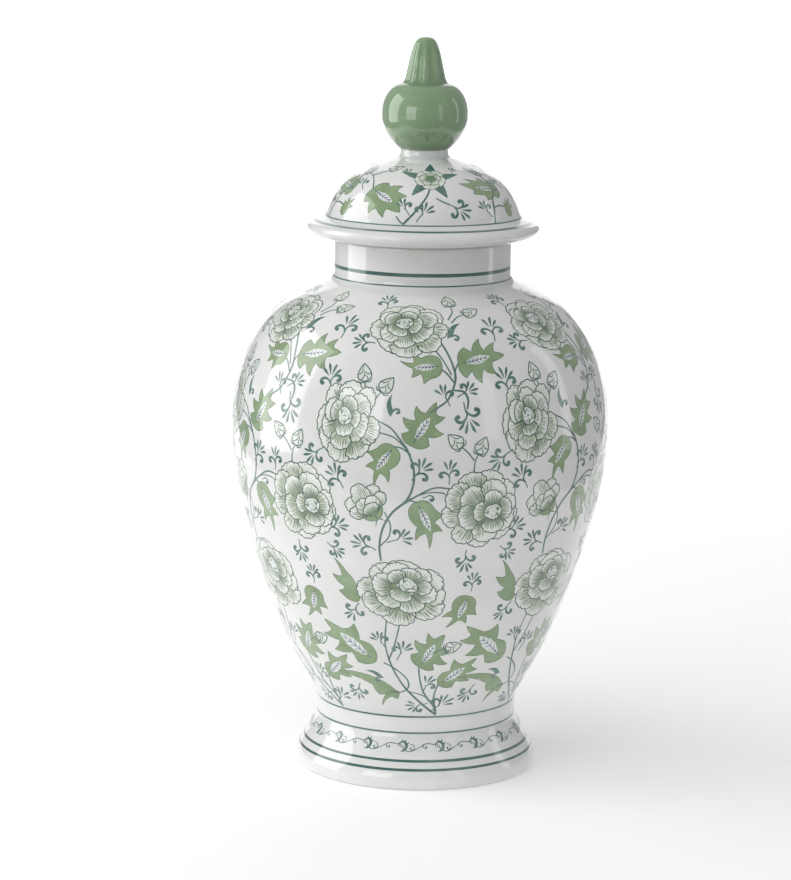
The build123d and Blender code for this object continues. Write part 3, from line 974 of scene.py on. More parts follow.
def sprig(paint, T, L, rot, mirror=False, drops=4, curls=2, seed=0):
    """Two thick curls and a fan of drops on a stalk. T is the middle of the sprig, L its height (about 15 mm)."""
    r = random.Random(seed + 11)
    k = L / 15.0
    kw = k ** 0.5
    f = lambda p: xf(np.array(p, float) - [0, 6.6], rot=rot, scale=k, mirror=mirror)
    stroke(paint, "sprig", f(smooth_path([(0.3, -1.2), (0.45, 2.0), (0.0, 5.2)], 7)), np.array([0.34, 0.34, 0.38]) * kw, T, 0.034, (True, False))
    if curls >= 1:
        c = smooth_path([(0.1, 4.0), (1.0, 6.1), (2.9, 7.3), (4.9, 6.9), (5.5, 5.3), (4.5, 4.4)], 7)
        stroke(paint, "sprig", f(c), np.array([0.28, 0.45, 0.66, 0.84, 0.92, 0.86]) * kw, T, 0.036, (True, True))
        blob(paint, "sprig", f([(4.35, 4.7)])[0], 1.02 * kw, T, 0.037, 10)
    if curls >= 2:
        c = smooth_path([(0.1, 2.6), (-0.9, 4.5), (-2.8, 5.7), (-4.9, 5.3), (-5.6, 3.8), (-4.6, 2.8)], 7)
        stroke(paint, "sprig", f(c), np.array([0.28, 0.45, 0.66, 0.84, 0.92, 0.86]) * kw, T, 0.036, (True, True))
        blob(paint, "sprig", f([(-4.45, 3.1)])[0], 1.02 * kw, T, 0.037, 10)
    step = 0.44
    for i in range(drops):
        a = (i - (drops - 1) / 2) * step + r.uniform(-0.04, 0.04) + 0.03
        r1 = 8.6 - 0.9 * abs(i - (drops - 1) / 2) ** 1.1 + r.uniform(-0.3, 0.3)
        c0 = np.array([-0.1, 5.2])
        d = np.array([math.sin(a), math.cos(a)])
        side = np.array([d[1], -d[0]]) * (0.5 if a > 0 else -0.5)
        t = np.linspace(0, 1, 7)
        p = np.array([c0 + d * (2.2 + (r1 - 2.2) * q) + side * q * q for q in t])
        stroke(paint, "sprig", f(p), np.array([0.12, 0.28, 0.46, 0.62, 0.74, 0.72, 0.36]) * kw, T, 0.036, (False, True))


def flame(paint, T, L, rot, pos=(0, 0), mirror=False):
    """A small horned leaf, all pigment."""
    f = lambda p: xf(p, pos=pos, rot=rot, scale=L / 12.0, mirror=mirror)
    poly = np.concatenate([bezier((0, 0), (2.2, 2.6), (1.0, 5.4), 7), bezier((1.0, 5.4), (0.2, 8.6), (1.6, 12.0), 7)[1:],
                           bezier((1.6, 12.0), (-1.8, 9.0), (-1.7, 6.0), 7)[1:], bezier((-1.7, 6.0), (-1.9, 3.0), (0, 0), 7)[1:-1]])
    fill(paint, "sprig", [f(poly)], T, 0.036, None)
    c = smooth_path([(0.4, 1.2), (2.4, 3.6), (4.4, 3.4), (4.6, 1.9), (3.7, 1.7)], 6)
    stroke(paint, "sprig", f(c), np.array([0.3, 0.55, 0.66, 0.70, 0.76]) * (L / 12) ** 0.5, T, 0.038, (True, True))


def vine(paint, T0, pts, widths, bucket="vine", n=9, h=0.034):
    """A stem through points given as (degrees, belly mm)."""
    th0 = T0[0]
    P = []
    for a, s in pts:
        ss = s + T0[1]
        P.append(((math.radians(a) - th0) * float(paint.surf.r(ss)), s))
    stroke(paint, bucket, smooth_path(P, n), np.array(widths) * 1.62 + 0.04, T0, h, (True, True))


def at(deg, s, base):
    return (math.radians(deg), s + base)


# ======================================================================
# the belly pattern: one unit, repeated
# ======================================================================
D2R = math.radians
jar_paint = Paint(JAR)
B0 = (0.0, S_BELLY)


def J(deg, s):
    return at(deg, s, S_BELLY)


# main stems
V = lambda pts, w, **k: vine(jar_paint, B0, pts, w, **k)
V([(11.0, 0.9), (6.2, 5.2), (0.0, 12.5), (-5.2, 20.4), (-9.3, 30.5), (-11.6, 40.0)], (0.42, 0.40, 0.34, 0.30))
V([(-11.6, 40.0), (-12.6, 51.0), (-11.4, 65.5)], (0.26, 0.25, 0.22))
V([(-11.6, 40.0), (-9.0, 49.0), (-6.2, 65.0)], (0.26, 0.25, 0.22))
V([(-12.5, 17.0), (-7.0, 17.2), (-3.6, 21.0), (-4.3, 27.0), (-9.0, 33.5), (-13.8, 37.4)], (0.20, 0.26, 0.27, 0.22))
V([(-12.0, 103.0), (-12.2, 112.0), (-10.9, 122.0), (-8.0, 131.0), (-3.6, 138.5), (-1.7, 147.0), (-1.7, 156.0), (-3.4, 165.0), (-5.6, 171.0)], (0.34, 0.36, 0.36, 0.33))
V([(-5.6, 171.0), (-8.6, 177.0), (-12.4, 180.5)], (0.30, 0.22, 0.20))
V([(-3.6, 166.0), (-7.4, 172.0), (-12.0, 174.5)], (0.24, 0.20, 0.18))
V([(-12.2, 111.0), (-9.2, 117.0), (-8.6, 124.0), (-10.2, 131.0)], (0.2, 0.24, 0.2))
V([(-6.0, 134.5), (-0.5, 141.0), (4.6, 145.4), (9.6, 144.8)], (0.30, 0.28, 0.22))
V([(-3.0, 139.0), (2.4, 142.6), (6.8, 142.6), (9.0, 140.0)], (0.10, 0.20, 0.2))
V([(5.7, 227.0), (8.6, 219.0), (10.6, 209.5), (10.9, 202.5), (8.6, 193.0), (5.6, 188.6), (3.0, 185.6)], (0.30, 0.32, 0.34, 0.32, 0.24))
V([(3.0, 223.0), (7.0, 214.5), (9.7, 206.0)], (0.22, 0.22, 0.24))
V([(9.9, 197.5), (13.4, 196.4), (14.6, 192.0), (14.2, 187.5)], (0.26, 0.36, 0.26))
V([(10.9, 203.5), (11.1, 208.2), (12.3, 212.0)], (0.28, 0.24))
V([(10.6, 201.4), (8.3, 206.4), (6.7, 208.6)], (0.26, 0.22))
V([(-2.7, 163.4), (-5.0, 166.4), (-7.4, 167.4)], (0.26, 0.22))
V([(-4.2, 137.4), (-2.6, 138.2), (-0.7, 137.4)], (0.24, 0.2))
# base fan
V([(11.0, 1.6), (9.8, 6.5), (6.2, 12.0), (3.2, 19.0), (1.6, 28.0), (1.0, 35.8)], (0.38, 0.32, 0.26))
V([(10.9, 3.5), (9.2, 11.5), (9.4, 17.5), (10.4, 22.6)], (0.34, 0.28, 0.24))
V([(9.8, 7.6), (3.8, 14.6), (-3.5, 17.8)], (0.22, 0.24, 0.2))

# flowers
peony(jar_paint, J(-4.6, 233.0), 18.6, rot=0.2, sx=1.06, sy=0.98, seed=21, centre=(-0.11, 0.22))
peony(jar_paint, J(-22.2, 178.5), 19.2, rot=-0.1, sx=0.90, sy=1.12, seed=5, centre=(-0.09, 0.16))
peony(jar_paint, J(19.4, 132.8), 20.4, rot=0.5, sx=1.02, sy=1.02, seed=33, centre=(0.22, -0.20),
      rings=[(9, 0.38, 0.66, 0.70, 7), (6, 0.18, 0.64, 0.68, 6), (4, 0.10, 0.48, 0.56, 5)])
half_open(jar_paint, J(-15.4, 134.6), 11.0, rot=0.62, seed=8)
peony(jar_paint, J(-5.2, 83.5), 21.2, rot=-0.2, sx=1.10, sy=0.90, seed=12, centre=(0.09, 0.30),
      rings=[(8, 0.38, 0.66, 0.74, 7), (6, 0.18, 0.62, 0.68, 6), (4, 0.10, 0.46, 0.54, 5)])

# leaves: kind, degrees and height of the base, length, direction (0 up, + left), mirror, bend
for kind, deg, s, L, rot, mir, bend, inlay, width in (
        ("A", 12.2, 211.8, 27.0, -1.44, False, -0.10, True, 0.90),
        ("B", 6.9, 210.8, 21.5, 1.72, False, 0.10, True, 0.88),
        ("A", -2.4, 167.8, 26.5, -0.52, True, -0.06, True, 0.86),
        ("B", -7.2, 167.2, 23.5, 2.42, True, 0.10, True, 0.86),
        ("B", -0.8, 137.6, 27.0, -2.62, False, 0.12, True, 0.78),
        ("C", -21.8, 76.0, 28.0, 0.36, False, 0.04, False, 0.72),
        ("D", -17.4, 37.8, 38.0, 0.84, True, 0.04, True, 0.84),
        ("E", -9.0, 17.4, 36.0, 1.12, False, -0.06, False, 0.66),
        ("E", -8.2, 17.4, 13.5, 1.95, False, -0.30, False, 1.10),
        ("B", 17.8, 81.6, 21.5, 2.96, False, 0.12, True, 0.92),
        ("A", 1.0, 35.6, 25.5, -0.60, False, -0.12, True, 0.92),
        ("D", 10.4, 22.6, 27.0, -0.92, False, -0.06, True, 0.92)):
    leaf(jar_paint, kind, J(deg, s), L, rot, mir, bend, inlay, width)

# buds: (position, length, direction, stem points)
def bud_at(deg, s, L, rot, stem, mirror=False):
    bud(jar_paint, J(deg, s), L, rot, stem=stem, mirror=mirror)


bud_at(-17.6, 201.0, 11.5, 0.22, [(1.0, -4.5), (4.4, -11.0)])
bud_at(-12.1, 196.0, 11.5, -0.62, [(-3.0, -4.5), (-5.2, -9.6)])
bud_at(12.3, 167.4, 11.5, 0.80, [(3.4, -3.0), (6.9, -7.4)], True)
bud_at(17.5, 163.4, 11.5, -0.40, [(-1.8, -3.4), (-2.4, -8.6), (-1.2, -14.0)])
bud_at(13.2, 250.6, 11.0, 0.10, [(0.2, -5.2), (-3.2, -11.6)])
bud_at(18.4, 242.8, 11.0, -1.05, [(-4.2, -1.4), (-8.8, -6.0)])
bud_at(11.8, 47.2, 11.0, -1.18, [(-3.6, -0.6), (-6.8, -2.6)])

# sprigs: middle (degrees, height), length, direction, mirror, drops, curls
for i, (deg, s, L, rot, mir, drops, curls) in enumerate((
        (-16.9, 254.5, 12.5, 0.15, False, 4, 2), (-20.9, 223.0, 13.0, 1.50, False, 4, 2),
        (27.6, 232.5, 16.0, -0.12, False, 3, 2), (-29.4, 202.0, 15.5, 0.05, False, 4, 2),
        (14.4, 182.0, 17.5, 3.34, False, 4, 2), (24.2, 160.0, 14.0, 2.10, False, 4, 2),
        (-25.2, 149.8, 15.0, 0.50, False, 4, 2), (0.6, 155.4, 14.5, -0.66, True, 4, 2),
        (8.8, 154.4, 13.0, -0.05, False, 3, 2), (14.6, 196.6, 12.5, -1.05, True, 4, 1),
        (7.2, 194.8, 12.5, 0.45, False, 3, 1), (31.2, 121.5, 14.5, -1.15, True, 4, 2),
        (29.8, 107.0, 12.0, -2.25, False, 4, 2), (-17.6, 112.0, 14.5, 1.12, False, 4, 2),
        (-5.4, 116.2, 14.5, -1.20, True, 4, 1), (15.4, 102.5, 13.5, 3.10, False, 4, 2),
        (-23.8, 69.5, 13.5, 2.50, False, 3, 2),
        (18.9, 90.6, 12.0, -0.10, False, 4, 2), (-14.9, 52.6, 12.5, 0.50, False, 4, 1),
        (-5.6, 46.5, 14.0, -0.42, True, 4, 1), (-30.4, 14.6, 13.5, 2.66, False, 4, 2),
        (13.8, 8.4, 15.5, -0.74, True, 4, 1), (5.0, 23.6, 13.0, -0.35, False, 3, 1),
        (0.2, 7.4, 12.5, 1.86, True, 4, 1), (3.6, 141.8, 9.0, -1.2, False, 0, 1))):
    sprig(jar_paint, J(deg, s), L, rot, mirror=mir, drops=drops, curls=curls, seed=i)
flame(jar_paint, J(9.4, 226.5), 13.0, -0.55)
flame(jar_paint, J(-8.8, 183.0), 12.0, 0.10)
flame(jar_paint, J(-14.8, 26.6), 11.0, 1.05, mirror=True)

# ======================================================================
# the foot border
# ======================================================================
foot_paint = Paint(JAR, 1.5)
SF = float(JAR.s_of_z(23.1))
T = (0.0, SF)
BIG = 1.28              # the leaf motif's size


def FP(pts):
    return np.array(pts, float) * BIG


half = D2R(10.0) * float(JAR.r(SF))
# a running tendril that links one comma-shaped leaf to the next
stroke(foot_paint, "footline", smooth_path([(-half, 0.2), (-half * 0.86, 1.2), (-half * 0.62, 1.7), (-half * 0.34, 1.2), (-half * 0.16, 1.4)], 7),
       (0.20, 0.22, 0.24, 0.26), T, 0.045)
stroke(foot_paint, "footline", smooth_path([(half * 0.12, -2.2), (half * 0.34, -2.9), (half * 0.58, -2.2), (half * 0.80, -0.9), (half, 0.2)], 7),
       (0.28, 0.24, 0.22, 0.20), T, 0.045)
t = np.linspace(0, 1, 22)
for cx, cy, r0, sg, a0 in ((half * 0.46, -0.9, 1.75, -1, 1.9), (-half * 0.78, -0.1, 1.35, 1, 1.4)):
    ang = a0 + sg * t * 5.6
    rad = r0 * 1.12 * (1 - t) ** 0.75 + 0.16
    stroke(foot_paint, "footline", np.stack([cx + rad * np.cos(ang), cy + rad * np.sin(ang)], 1), (0.20, 0.24, 0.34), T, 0.048, (False, True))
# the leaf: a thick comma with a crest of three points and combed underside
stroke(foot_paint, "footleaf", smooth_path(FP([(-2.0, 1.0), (-0.4, 2.0), (0.9, 1.6), (1.5, 0.3), (1.2, -1.1), (0.2, -2.0), (-0.8, -2.1)]), 7),
       (0.26, 0.46, 0.70, 0.86, 0.70, 0.46, 0.24), T, 0.048, (True, True))
for x0, y0, x1, y1 in ((-0.2, 2.0, -0.4, 3.1), (0.8, 1.8, 1.2, 3.0), (1.5, 0.9, 2.7, 1.7)):
    stroke(foot_paint, "footleaf", FP([(x0, y0), ((x0 + x1) / 2, (y0 + y1) / 2), (x1, y1)]), (0.52, 0.40, 0.10), T, 0.05, (True, False))
for k, (x0, y0) in enumerate(((-1.5, 1.2), (-0.75, 1.0), (0.0, 0.5), (0.45, -0.3), (0.4, -1.1))):
    stroke(foot_paint, "footleaf", FP([(x0, y0), (x0 - 0.30, y0 - 0.8), (x0 - 0.25, y0 - 1.5 + 0.16 * k)]), (0.20, 0.28, 0.12), T, 0.05, (True, True))

# ======================================================================
# the lid pattern
# ======================================================================
lid_paint = Paint(LID, 1.5)


def K(deg, s):
    return at(deg, s, S_DOME)


L0 = (0.0, S_DOME)
LV = lambda pts, w, **k: vine(lid_paint, L0, pts, w, **k)
LV([(4.6, 22.0), (1.6, 16.0), (-4.2, 8.6), (-11.4, 0.8)], (0.26, 0.30, 0.36))
LV([(-11.4, 0.8), (-13.4, 1.8), (-16.0, 4.6)], (0.26, 0.22))
LV([(8.6, 15.6), (12.4, 13.6), (16.0, 12.2)], (0.24, 0.28))
LV([(-38.0, 20.0), (-44.0, 27.0), (-52.0, 31.0), (-62.0, 33.0)], (0.26, 0.24, 0.2))
LV([(-50.0, 30.4), (-44.0, 34.0), (-37.0, 37.0)], (0.22, 0.2))
LV([(46.4, 0.8), (48.4, 7.0), (50.6, 13.0), (56.0, 18.0), (62.0, 19.4)], (0.40, 0.36, 0.30, 0.26))
LV([(56.0, 18.0), (58.0, 24.0), (57.0, 31.0)], (0.26, 0.22))
LV([(49.4, 9.0), (55.0, 9.6), (60.4, 8.6)], (0.24, 0.22))


def star_flower(paint, T, R, seed=4):
    """A small open flower: five long pointed sepals behind folded petals."""
    for k in range(5):
        a = 2 * math.pi * k / 5 + 0.05
        rgt = np.concatenate([bezier((0.06, 0.40), (0.36, 0.62), (0.29, 1.04), 6), bezier((0.29, 1.04), (0.20, 1.42), (0.05, 1.86), 6)[1:]])
        lft = np.concatenate([bezier((-0.06, 0.40), (-0.34, 0.66), (-0.27, 1.02), 6), bezier((-0.27, 1.02), (-0.16, 1.40), (0.05, 1.86), 6)[1:]])
        poly = xf(np.concatenate([rgt, lft[::-1][1:]]) * R, rot=-a)
        fill(paint, "sprig", [poly], T, 0.030, None)
        stroke(paint, "line", np.concatenate([poly, poly[:1]]), 0.17, T, 0.038)
        rib = xf(np.array([(0.0, 0.6), (0.02, 1.1), (0.03, 1.5)]) * R, rot=-a)
        stroke(paint, "line", rib, (0.14, 0.14, 0.05), T, 0.038)
    P = []
    for k in range(5):
        a = 2 * math.pi * (k + 0.5) / 5 + 0.05
        P.append(petal((0.12 * R * math.sin(a), 0.12 * R * math.cos(a)), a, 0.84 * R, 1.02 * R, lobes=4, amp=0.06, seed=seed + k))
    for k in range(5):
        a = 2 * math.pi * k / 5 + 0.05
        P.append(petal((0.04 * R * math.sin(a), 0.04 * R * math.cos(a)), a, 0.60 * R, 0.60 * R, lobes=3, amp=0.05, seed=seed + 20 + k))
    polys = [p["poly"] for p in P]
    fill(paint, "petal", polys, T, 0.050, [p["wash"] for p in P])
    for i, p in enumerate(P):
        for run in visible_runs(p["line"], polys[i + 1:]):
            stroke(paint, "line", run, 0.19, T, 0.070)
        for hl in p["hatch"]:
            for run in visible_runs(hl, polys[i + 1:]):
                if len(run) >= 3:
                    stroke(paint, "hatch", run, (0.08, 0.13, 0.05), T, 0.062)
    blob(paint, "line", (0, 0), 0.55, T, 0.084, 9)


star_flower(lid_paint, K(5.4, 30.0), 8.8)
leaf(lid_paint, "S", K(-38.6, 20.5), 25.5, -2.06, False, -0.05, True, 0.80)
leaf(lid_paint, "S", K(63.0, 19.4), 25.0, 1.46, False, 0.05, True, 0.62)
leaf(lid_paint, "B", K(-58.4, 3.4), 12.0, -0.55, False, 0.0, False, 0.80)
for deg, s, L, rot in ((-62.0, 33.6, 9.0, 0.55), (-37.6, 37.2, 9.0, -0.75), (57.0, 31.2, 8.5, -0.30)):
    bud(lid_paint, K(deg, s), L, rot)
for i, (deg, s, L, rot, mir, drops, curls) in enumerate(((23.2, 8.8, 14.5, -2.00, True, 4, 2), (-12.4, 10.4, 11.0, 0.62, False, 3, 1),
                                                         (0.6, 7.6, 13.0, -0.62, True, 4, 1), (41.4, 8.4, 11.0, 0.62, False, 3, 1),
                                                         (-52.4, 23.0, 10.0, 0.75, False, 3, 1), (30.0, 37.0, 9.0, -0.5, False, 3, 0),
                                                         (-16.0, 36.0, 9.0, 0.4, False, 3, 0))):
    sprig(lid_paint, K(deg, s), L, rot, mirror=mir, drops=drops, curls=curls, seed=40 + i)


# ======================================================================
# banded stripes, drawn on a wheel with a steady but human hand
# ======================================================================
def band(paint, s, half, seed, bucket="band", h=0.05):
    r = random.Random(seed)
    n = 480
    th = np.linspace(0, 2 * math.pi, n, endpoint=False)
    wob = np.zeros(n)
    wid = np.ones(n)
    for k in (1, 2, 3, 5, 9, 17):
        wob += r.uniform(-1, 1) * 0.05 / k ** 0.6 * np.sin(k * th + r.uniform(0, 6.3))
        wid += r.uniform(-1, 1) * 0.07 / k ** 0.4 * np.sin(k * th + r.uniform(0, 6.3))
    cols = np.linspace(-1, 1, 4)
    V, N, F = [], [], []
    for c in cols:
        v, nn = paint.surf.at(th, s + wob + c * half * wid, h)
        V.append(v)
        N.append(nn)
    v, nn = paint.surf.at(th, s + wob + half * wid * 0.9, -0.05)
    V.append(v)
    N.append(nn)
    v, nn = paint.surf.at(th, s + wob - half * wid * 0.9, -0.05)
    V.append(v)
    N.append(nn)
    m = len(V)
    for a in range(m):
        b = (a + 1) % m
        for k in range(n):
            l = (k + 1) % n
            F.append((a * n + k, a * n + l, b * n + l, b * n + k))
    paint.bucket(bucket).add(np.concatenate(V), np.concatenate(N), F, [0.5] * 4 * len(F))


jar_bands = Paint(JAR)
for z, half, seed in ((281.4, 0.94, 1), (275.6, 0.40, 2), (39.0, 0.46, 3), (29.9, 0.50, 4), (16.0, 0.74, 5), (11.6, 0.72, 6)):
    band(jar_bands, float(JAR.s_of_z(z)), half, seed)
lid_bands = Paint(LID)
band(lid_bands, float(LID.s_of_z(306.2)), 0.95, 11)
band(lid_bands, float(LID.s_of_z(308.8)), 0.42, 12)

# ======================================================================
# materials
# ======================================================================
GLAZE = white_glaze("glaze_white", [(0.0397, 0.004, 0.30), (0.0297, 0.004, 0.30), (0.2755, 0.006, 0.25)])
GLAZE_LID = white_glaze("glaze_white_lid", [(0.3089, 0.0035, 0.25), (0.3410, 0.003, 0.35)])
LEAF_M = painted("underglaze_leaf", srgb(120, 143, 103), srgb(134, 157, 117), srgb(150, 172, 135), 80.0, use_wash=True, wash_amount=0.30)
LINE_M = painted("underglaze_line", srgb(44, 76, 70), srgb(60, 92, 84), srgb(86, 116, 104), 170.0)
LEAFLINE_M = painted("underglaze_leafline", srgb(78, 104, 74), srgb(94, 120, 88), srgb(116, 140, 106), 170.0)
HATCH_M = painted("underglaze_hatch", srgb(66, 92, 74), srgb(82, 106, 84), srgb(110, 130, 102), 120.0)
SPRIG_M = painted("underglaze_sprig", srgb(66, 104, 96), srgb(88, 124, 114), srgb(120, 148, 138), 150.0)
VINE_M = painted("underglaze_vine", srgb(68, 103, 95), srgb(88, 120, 110), srgb(116, 144, 133), 120.0)
BAND_M = painted("underglaze_band", srgb(46, 84, 82), srgb(70, 106, 101), srgb(104, 134, 126), 22.0)
VEIN_M = painted("underglaze_vein", srgb(44, 54, 88), srgb(58, 70, 100), srgb(84, 98, 116), 170.0)
INLAY_M = painted("underglaze_inlay", srgb(212, 220, 218), srgb(226, 232, 230), srgb(236, 240, 239), 120.0)
BUD_M = painted("underglaze_bud", srgb(208, 216, 206), srgb(222, 228, 221), srgb(232, 236, 231), 120.0)
PETAL_M = petal_mat("underglaze_petal", srgb(230, 233, 227), srgb(201, 210, 192), srgb(124, 147, 112))
FINIAL_M = finial_mat()
BISCUIT_M = biscuit_mat()
MATS = {"leaf": LEAF_M, "line": LINE_M, "leafline": LEAFLINE_M, "hatch": HATCH_M, "sprig": SPRIG_M, "vine": VINE_M,
        "band": BAND_M, "vein": VEIN_M, "inlay": INLAY_M, "budfill": BUD_M, "petal": PETAL_M,
        "footline": SPRIG_M, "footleaf": VINE_M}

# ======================================================================
# the pottery itself
# ======================================================================
# jar_body: outside up, over the rim, inside down, floor, underside
outer = thin_profile(np.array([np.array([JAR.p[i, 0] - INSET * JAR.n[i, 0], max(JAR.p[i, 1] - INSET * JAR.n[i, 1], 0.10)])
                               for i in range(len(JAR.p))]))
outer = outer[outer[:, 1] >= 0.10]
rim = np.array([(NECK_R - INSET - 1.3 * (1 - math.cos(a)), SEAT_Z - 0.12 - 1.3 * (1 - math.sin(a))) for a in np.linspace(0, math.pi / 2, 8)])
rim_in = np.array([(NECK_BORE_R + 1.3 * (1 - math.sin(a)), SEAT_Z - 0.12 - 1.3 * (1 - math.cos(a))) for a in np.linspace(0, math.pi / 2, 8)])
belly_in = push(belly_run, 5.2)
belly_in = belly_in[(belly_in[:, 1] > 45.0) & (belly_in[:, 1] < 265.0)]
belly_in = thin_profile(belly_in, 4.0, 0.05)
inner = np.concatenate([line_pts((NECK_BORE_R, SEAT_Z - 1.5), (NECK_BORE_R, 273.0), 5.0),
                        smooth_path([(NECK_BORE_R, 273.0), (44.9, 271.0), (47.4, 268.4), tuple(belly_in[-1])], 5)[1:-1],
                        belly_in[::-1],
                        [(50.4, 40.0), (50.4, 27.0), (52.6, 19.0), (54.3, 15.0), (53.6, 11.6), (51.5, 9.8), (47.0, 9.0), (30.0, 9.0), (0.0, 9.0)]])
under = np.array([(0.0, 3.6), (30.0, 3.6), (46.8, 3.6), (48.3, 3.4), (49.2, 2.6), (50.9, 0.8), (51.8, 0.16), (52.6, 0.10)])
jar_prof = np.concatenate([outer, rim, rim_in, inner, under])
jar_glaze = lathe("jar_glaze", jar_prof, GLAZE, seg=312, closed=True, sharp=50)

# flute count and depth of the finial's tip
FLUTES = 10


def flute(th, z):
    k = np.clip((z - 380.6) / 2.5, 0, 1) * np.clip((405.2 - z) / 6.0, 0, 1)
    return 1 - 0.075 * k * (0.5 - 0.5 * np.cos(FLUTES * th)) ** 1.2


# lid: flange and dome outside, collar, inside
lid_outer = thin_profile(np.array([LID.p[i] - INSET * LID.n[i] for i in range(len(LID.p))]), 1.4, 0.04)
inner_dome = push(clamped_spline(DOME, (-0.35, 1.0), (0.0, 1.0), 1.0), 4.6)
inner_dome = inner_dome[(inner_dome[:, 0] > 13.0) & (inner_dome[:, 1] > 309.5) & (inner_dome[:, 1] < 335.3)]
SK, SKI, SKD = 43.5, 39.6, 11.5
lid_prof = np.concatenate([
    lid_outer,
    [(12.9, 344.95), (9.0, 345.0), (0.0, 345.0)],
    [(0.0, 335.4), (6.0, 335.4), (11.0, 335.2)],
    thin_profile(inner_dome, 3.0, 0.05)[::-1],
    [(47.2, 309.0), (44.4, 304.0), (41.2, 300.0), (SKI + 0.3, 298.0), (SKI, 296.0), (SKI, SEAT_Z - SKD + 1.4),
     (SKI + 0.35, SEAT_Z - SKD + 0.5), (SKI + 1.2, SEAT_Z - SKD + 0.05), (SK - 1.4, SEAT_Z - SKD), (SK - 0.45, SEAT_Z - SKD + 0.4),
     (SK, SEAT_Z - SKD + 1.3), (SK, SEAT_Z - 0.9), (SK + 0.5, SEAT_Z + 0.06), (46.0, SEAT_Z + 0.12), (49.6, SEAT_Z + 0.12), (51.0, SEAT_Z + 0.25)]])
lid_glaze = lathe("lid_glaze", lid_prof, GLAZE_LID, seg=256, closed=True, sharp=55)

# finial
bulb_run = clamped_spline(BULB, (1.0, 0.45), (-1.0, 0.3), 0.5)
tip_run = clamped_spline(TIP, (-0.1, 1.0), (-1.0, 0.0), 0.45)
fin_out = join(bulb_run, line_pts(BULB[-1], TIP[0], 0.4), tip_run)
fin_out = ease_corners(fin_out, [TIP[0]], [0.8])
fin_out[:, 0] = np.maximum(fin_out[:, 0] - 0.05, 0)
fin_out[:, 0] = np.minimum(fin_out[:, 0], 23.55)
fin_prof = np.concatenate([[(0.0, 344.6), (8.0, 344.6), (12.6, 344.7)], thin_profile(fin_out, 0.8, 0.03)])
fin_prof = fin_prof[fin_prof[:, 0] >= 0]
fin_prof[-1] = (0.0, 405.95)


def finial_attrs(v, extra):
    z = v[:, 2] / MM
    r = np.hypot(v[:, 0], v[:, 1]) / MM
    th = np.arctan2(v[:, 0], -v[:, 1])
    pool = np.exp(-((z - 380.9) / 1.6) ** 2) + 0.8 * np.exp(-((z - 346.3) / 2.0) ** 2)
    groove = np.clip((z - 381.5) / 3, 0, 1) * np.clip((404 - z) / 5, 0, 1) * (0.5 - 0.5 * np.cos(FLUTES * th)) ** 3
    pool = np.clip(pool + 0.55 * groove, 0, 1)
    crest = np.exp(-((z - 379.2) / 0.8) ** 2) * 0.6 + np.exp(-((z - 405.6) / 1.6) ** 2) * 0.7
    crest = crest + 0.35 * np.clip((z - 382.5) / 4, 0, 1) * np.clip((404 - z) / 5, 0, 1) * (0.5 + 0.5 * np.cos(FLUTES * th)) ** 4
    return {"pool": pool, "crest": np.clip(crest, 0, 1)}


finial_glaze = lathe("finial_glaze", fin_prof, FINIAL_M, seg=192, closed=False, sharp=60,
                     radius_fn=flute, attrs_fn=finial_attrs)

# bare clay where the kiln shelf and the lid seat were wiped clean
foot_ring = lathe("foot_ring", [(52.0, 0.5), (52.4, 0.06), (53.0, 0.0), (62.6, 0.0), (63.4, 0.04), (63.9, 0.5), (63.4, 0.9), (52.6, 0.9)][::-1][::-1],
                  BISCUIT_M, seg=256, closed=True, sharp=60)
rim_bare = lathe("rim_bare", [(45.5, SEAT_Z - 0.5), (48.0, SEAT_Z - 0.5), (48.1, SEAT_Z - 0.1), (47.9, SEAT_Z), (45.7, SEAT_Z), (45.4, SEAT_Z - 0.1)],
                 BISCUIT_M, seg=256, closed=True, sharp=60)
seat_bare = lathe("seat_bare", [(44.6, SEAT_Z + 0.04), (47.4, SEAT_Z + 0.04), (47.6, SEAT_Z + 0.2), (47.4, SEAT_Z + 0.6), (44.7, SEAT_Z + 0.6), (44.4, SEAT_Z + 0.2)],
                  BISCUIT_M, seg=256, closed=True, sharp=60)

for ob, body, nd, sl in ((jar_glaze, "jar", "jar_body", "jar_glaze"), (lid_glaze, "lid", "lid", "lid_glaze"),
                         (finial_glaze, "lid", "finial", "finial_glaze"), (foot_ring, "jar", "jar_body", "biscuit"),
                         (rim_bare, "jar", "jar_body", "biscuit"), (seat_bare, "lid", "lid", "biscuit")):
    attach(ob, body)
    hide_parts(nd)

UNITS = [D2R(a) for a in (0.0, 57.0, 118.5, 180.0, 241.5, 303.0)]
jar_paint.make("jar_", MATS, UNITS, "jar", "jar_body")
foot_paint.make("jar_", MATS, [D2R(-6.5 + 20.0 * k) for k in range(18)], "jar", "jar_body")
jar_bands.make("jar_", MATS, [0.0], "jar", "jar_body")
lid_paint.make("lid_", MATS, [D2R(120.0 * k) for k in range(3)], "lid", "lid")
lid_bands.make("lid_", MATS, [0.0], "lid", "lid")

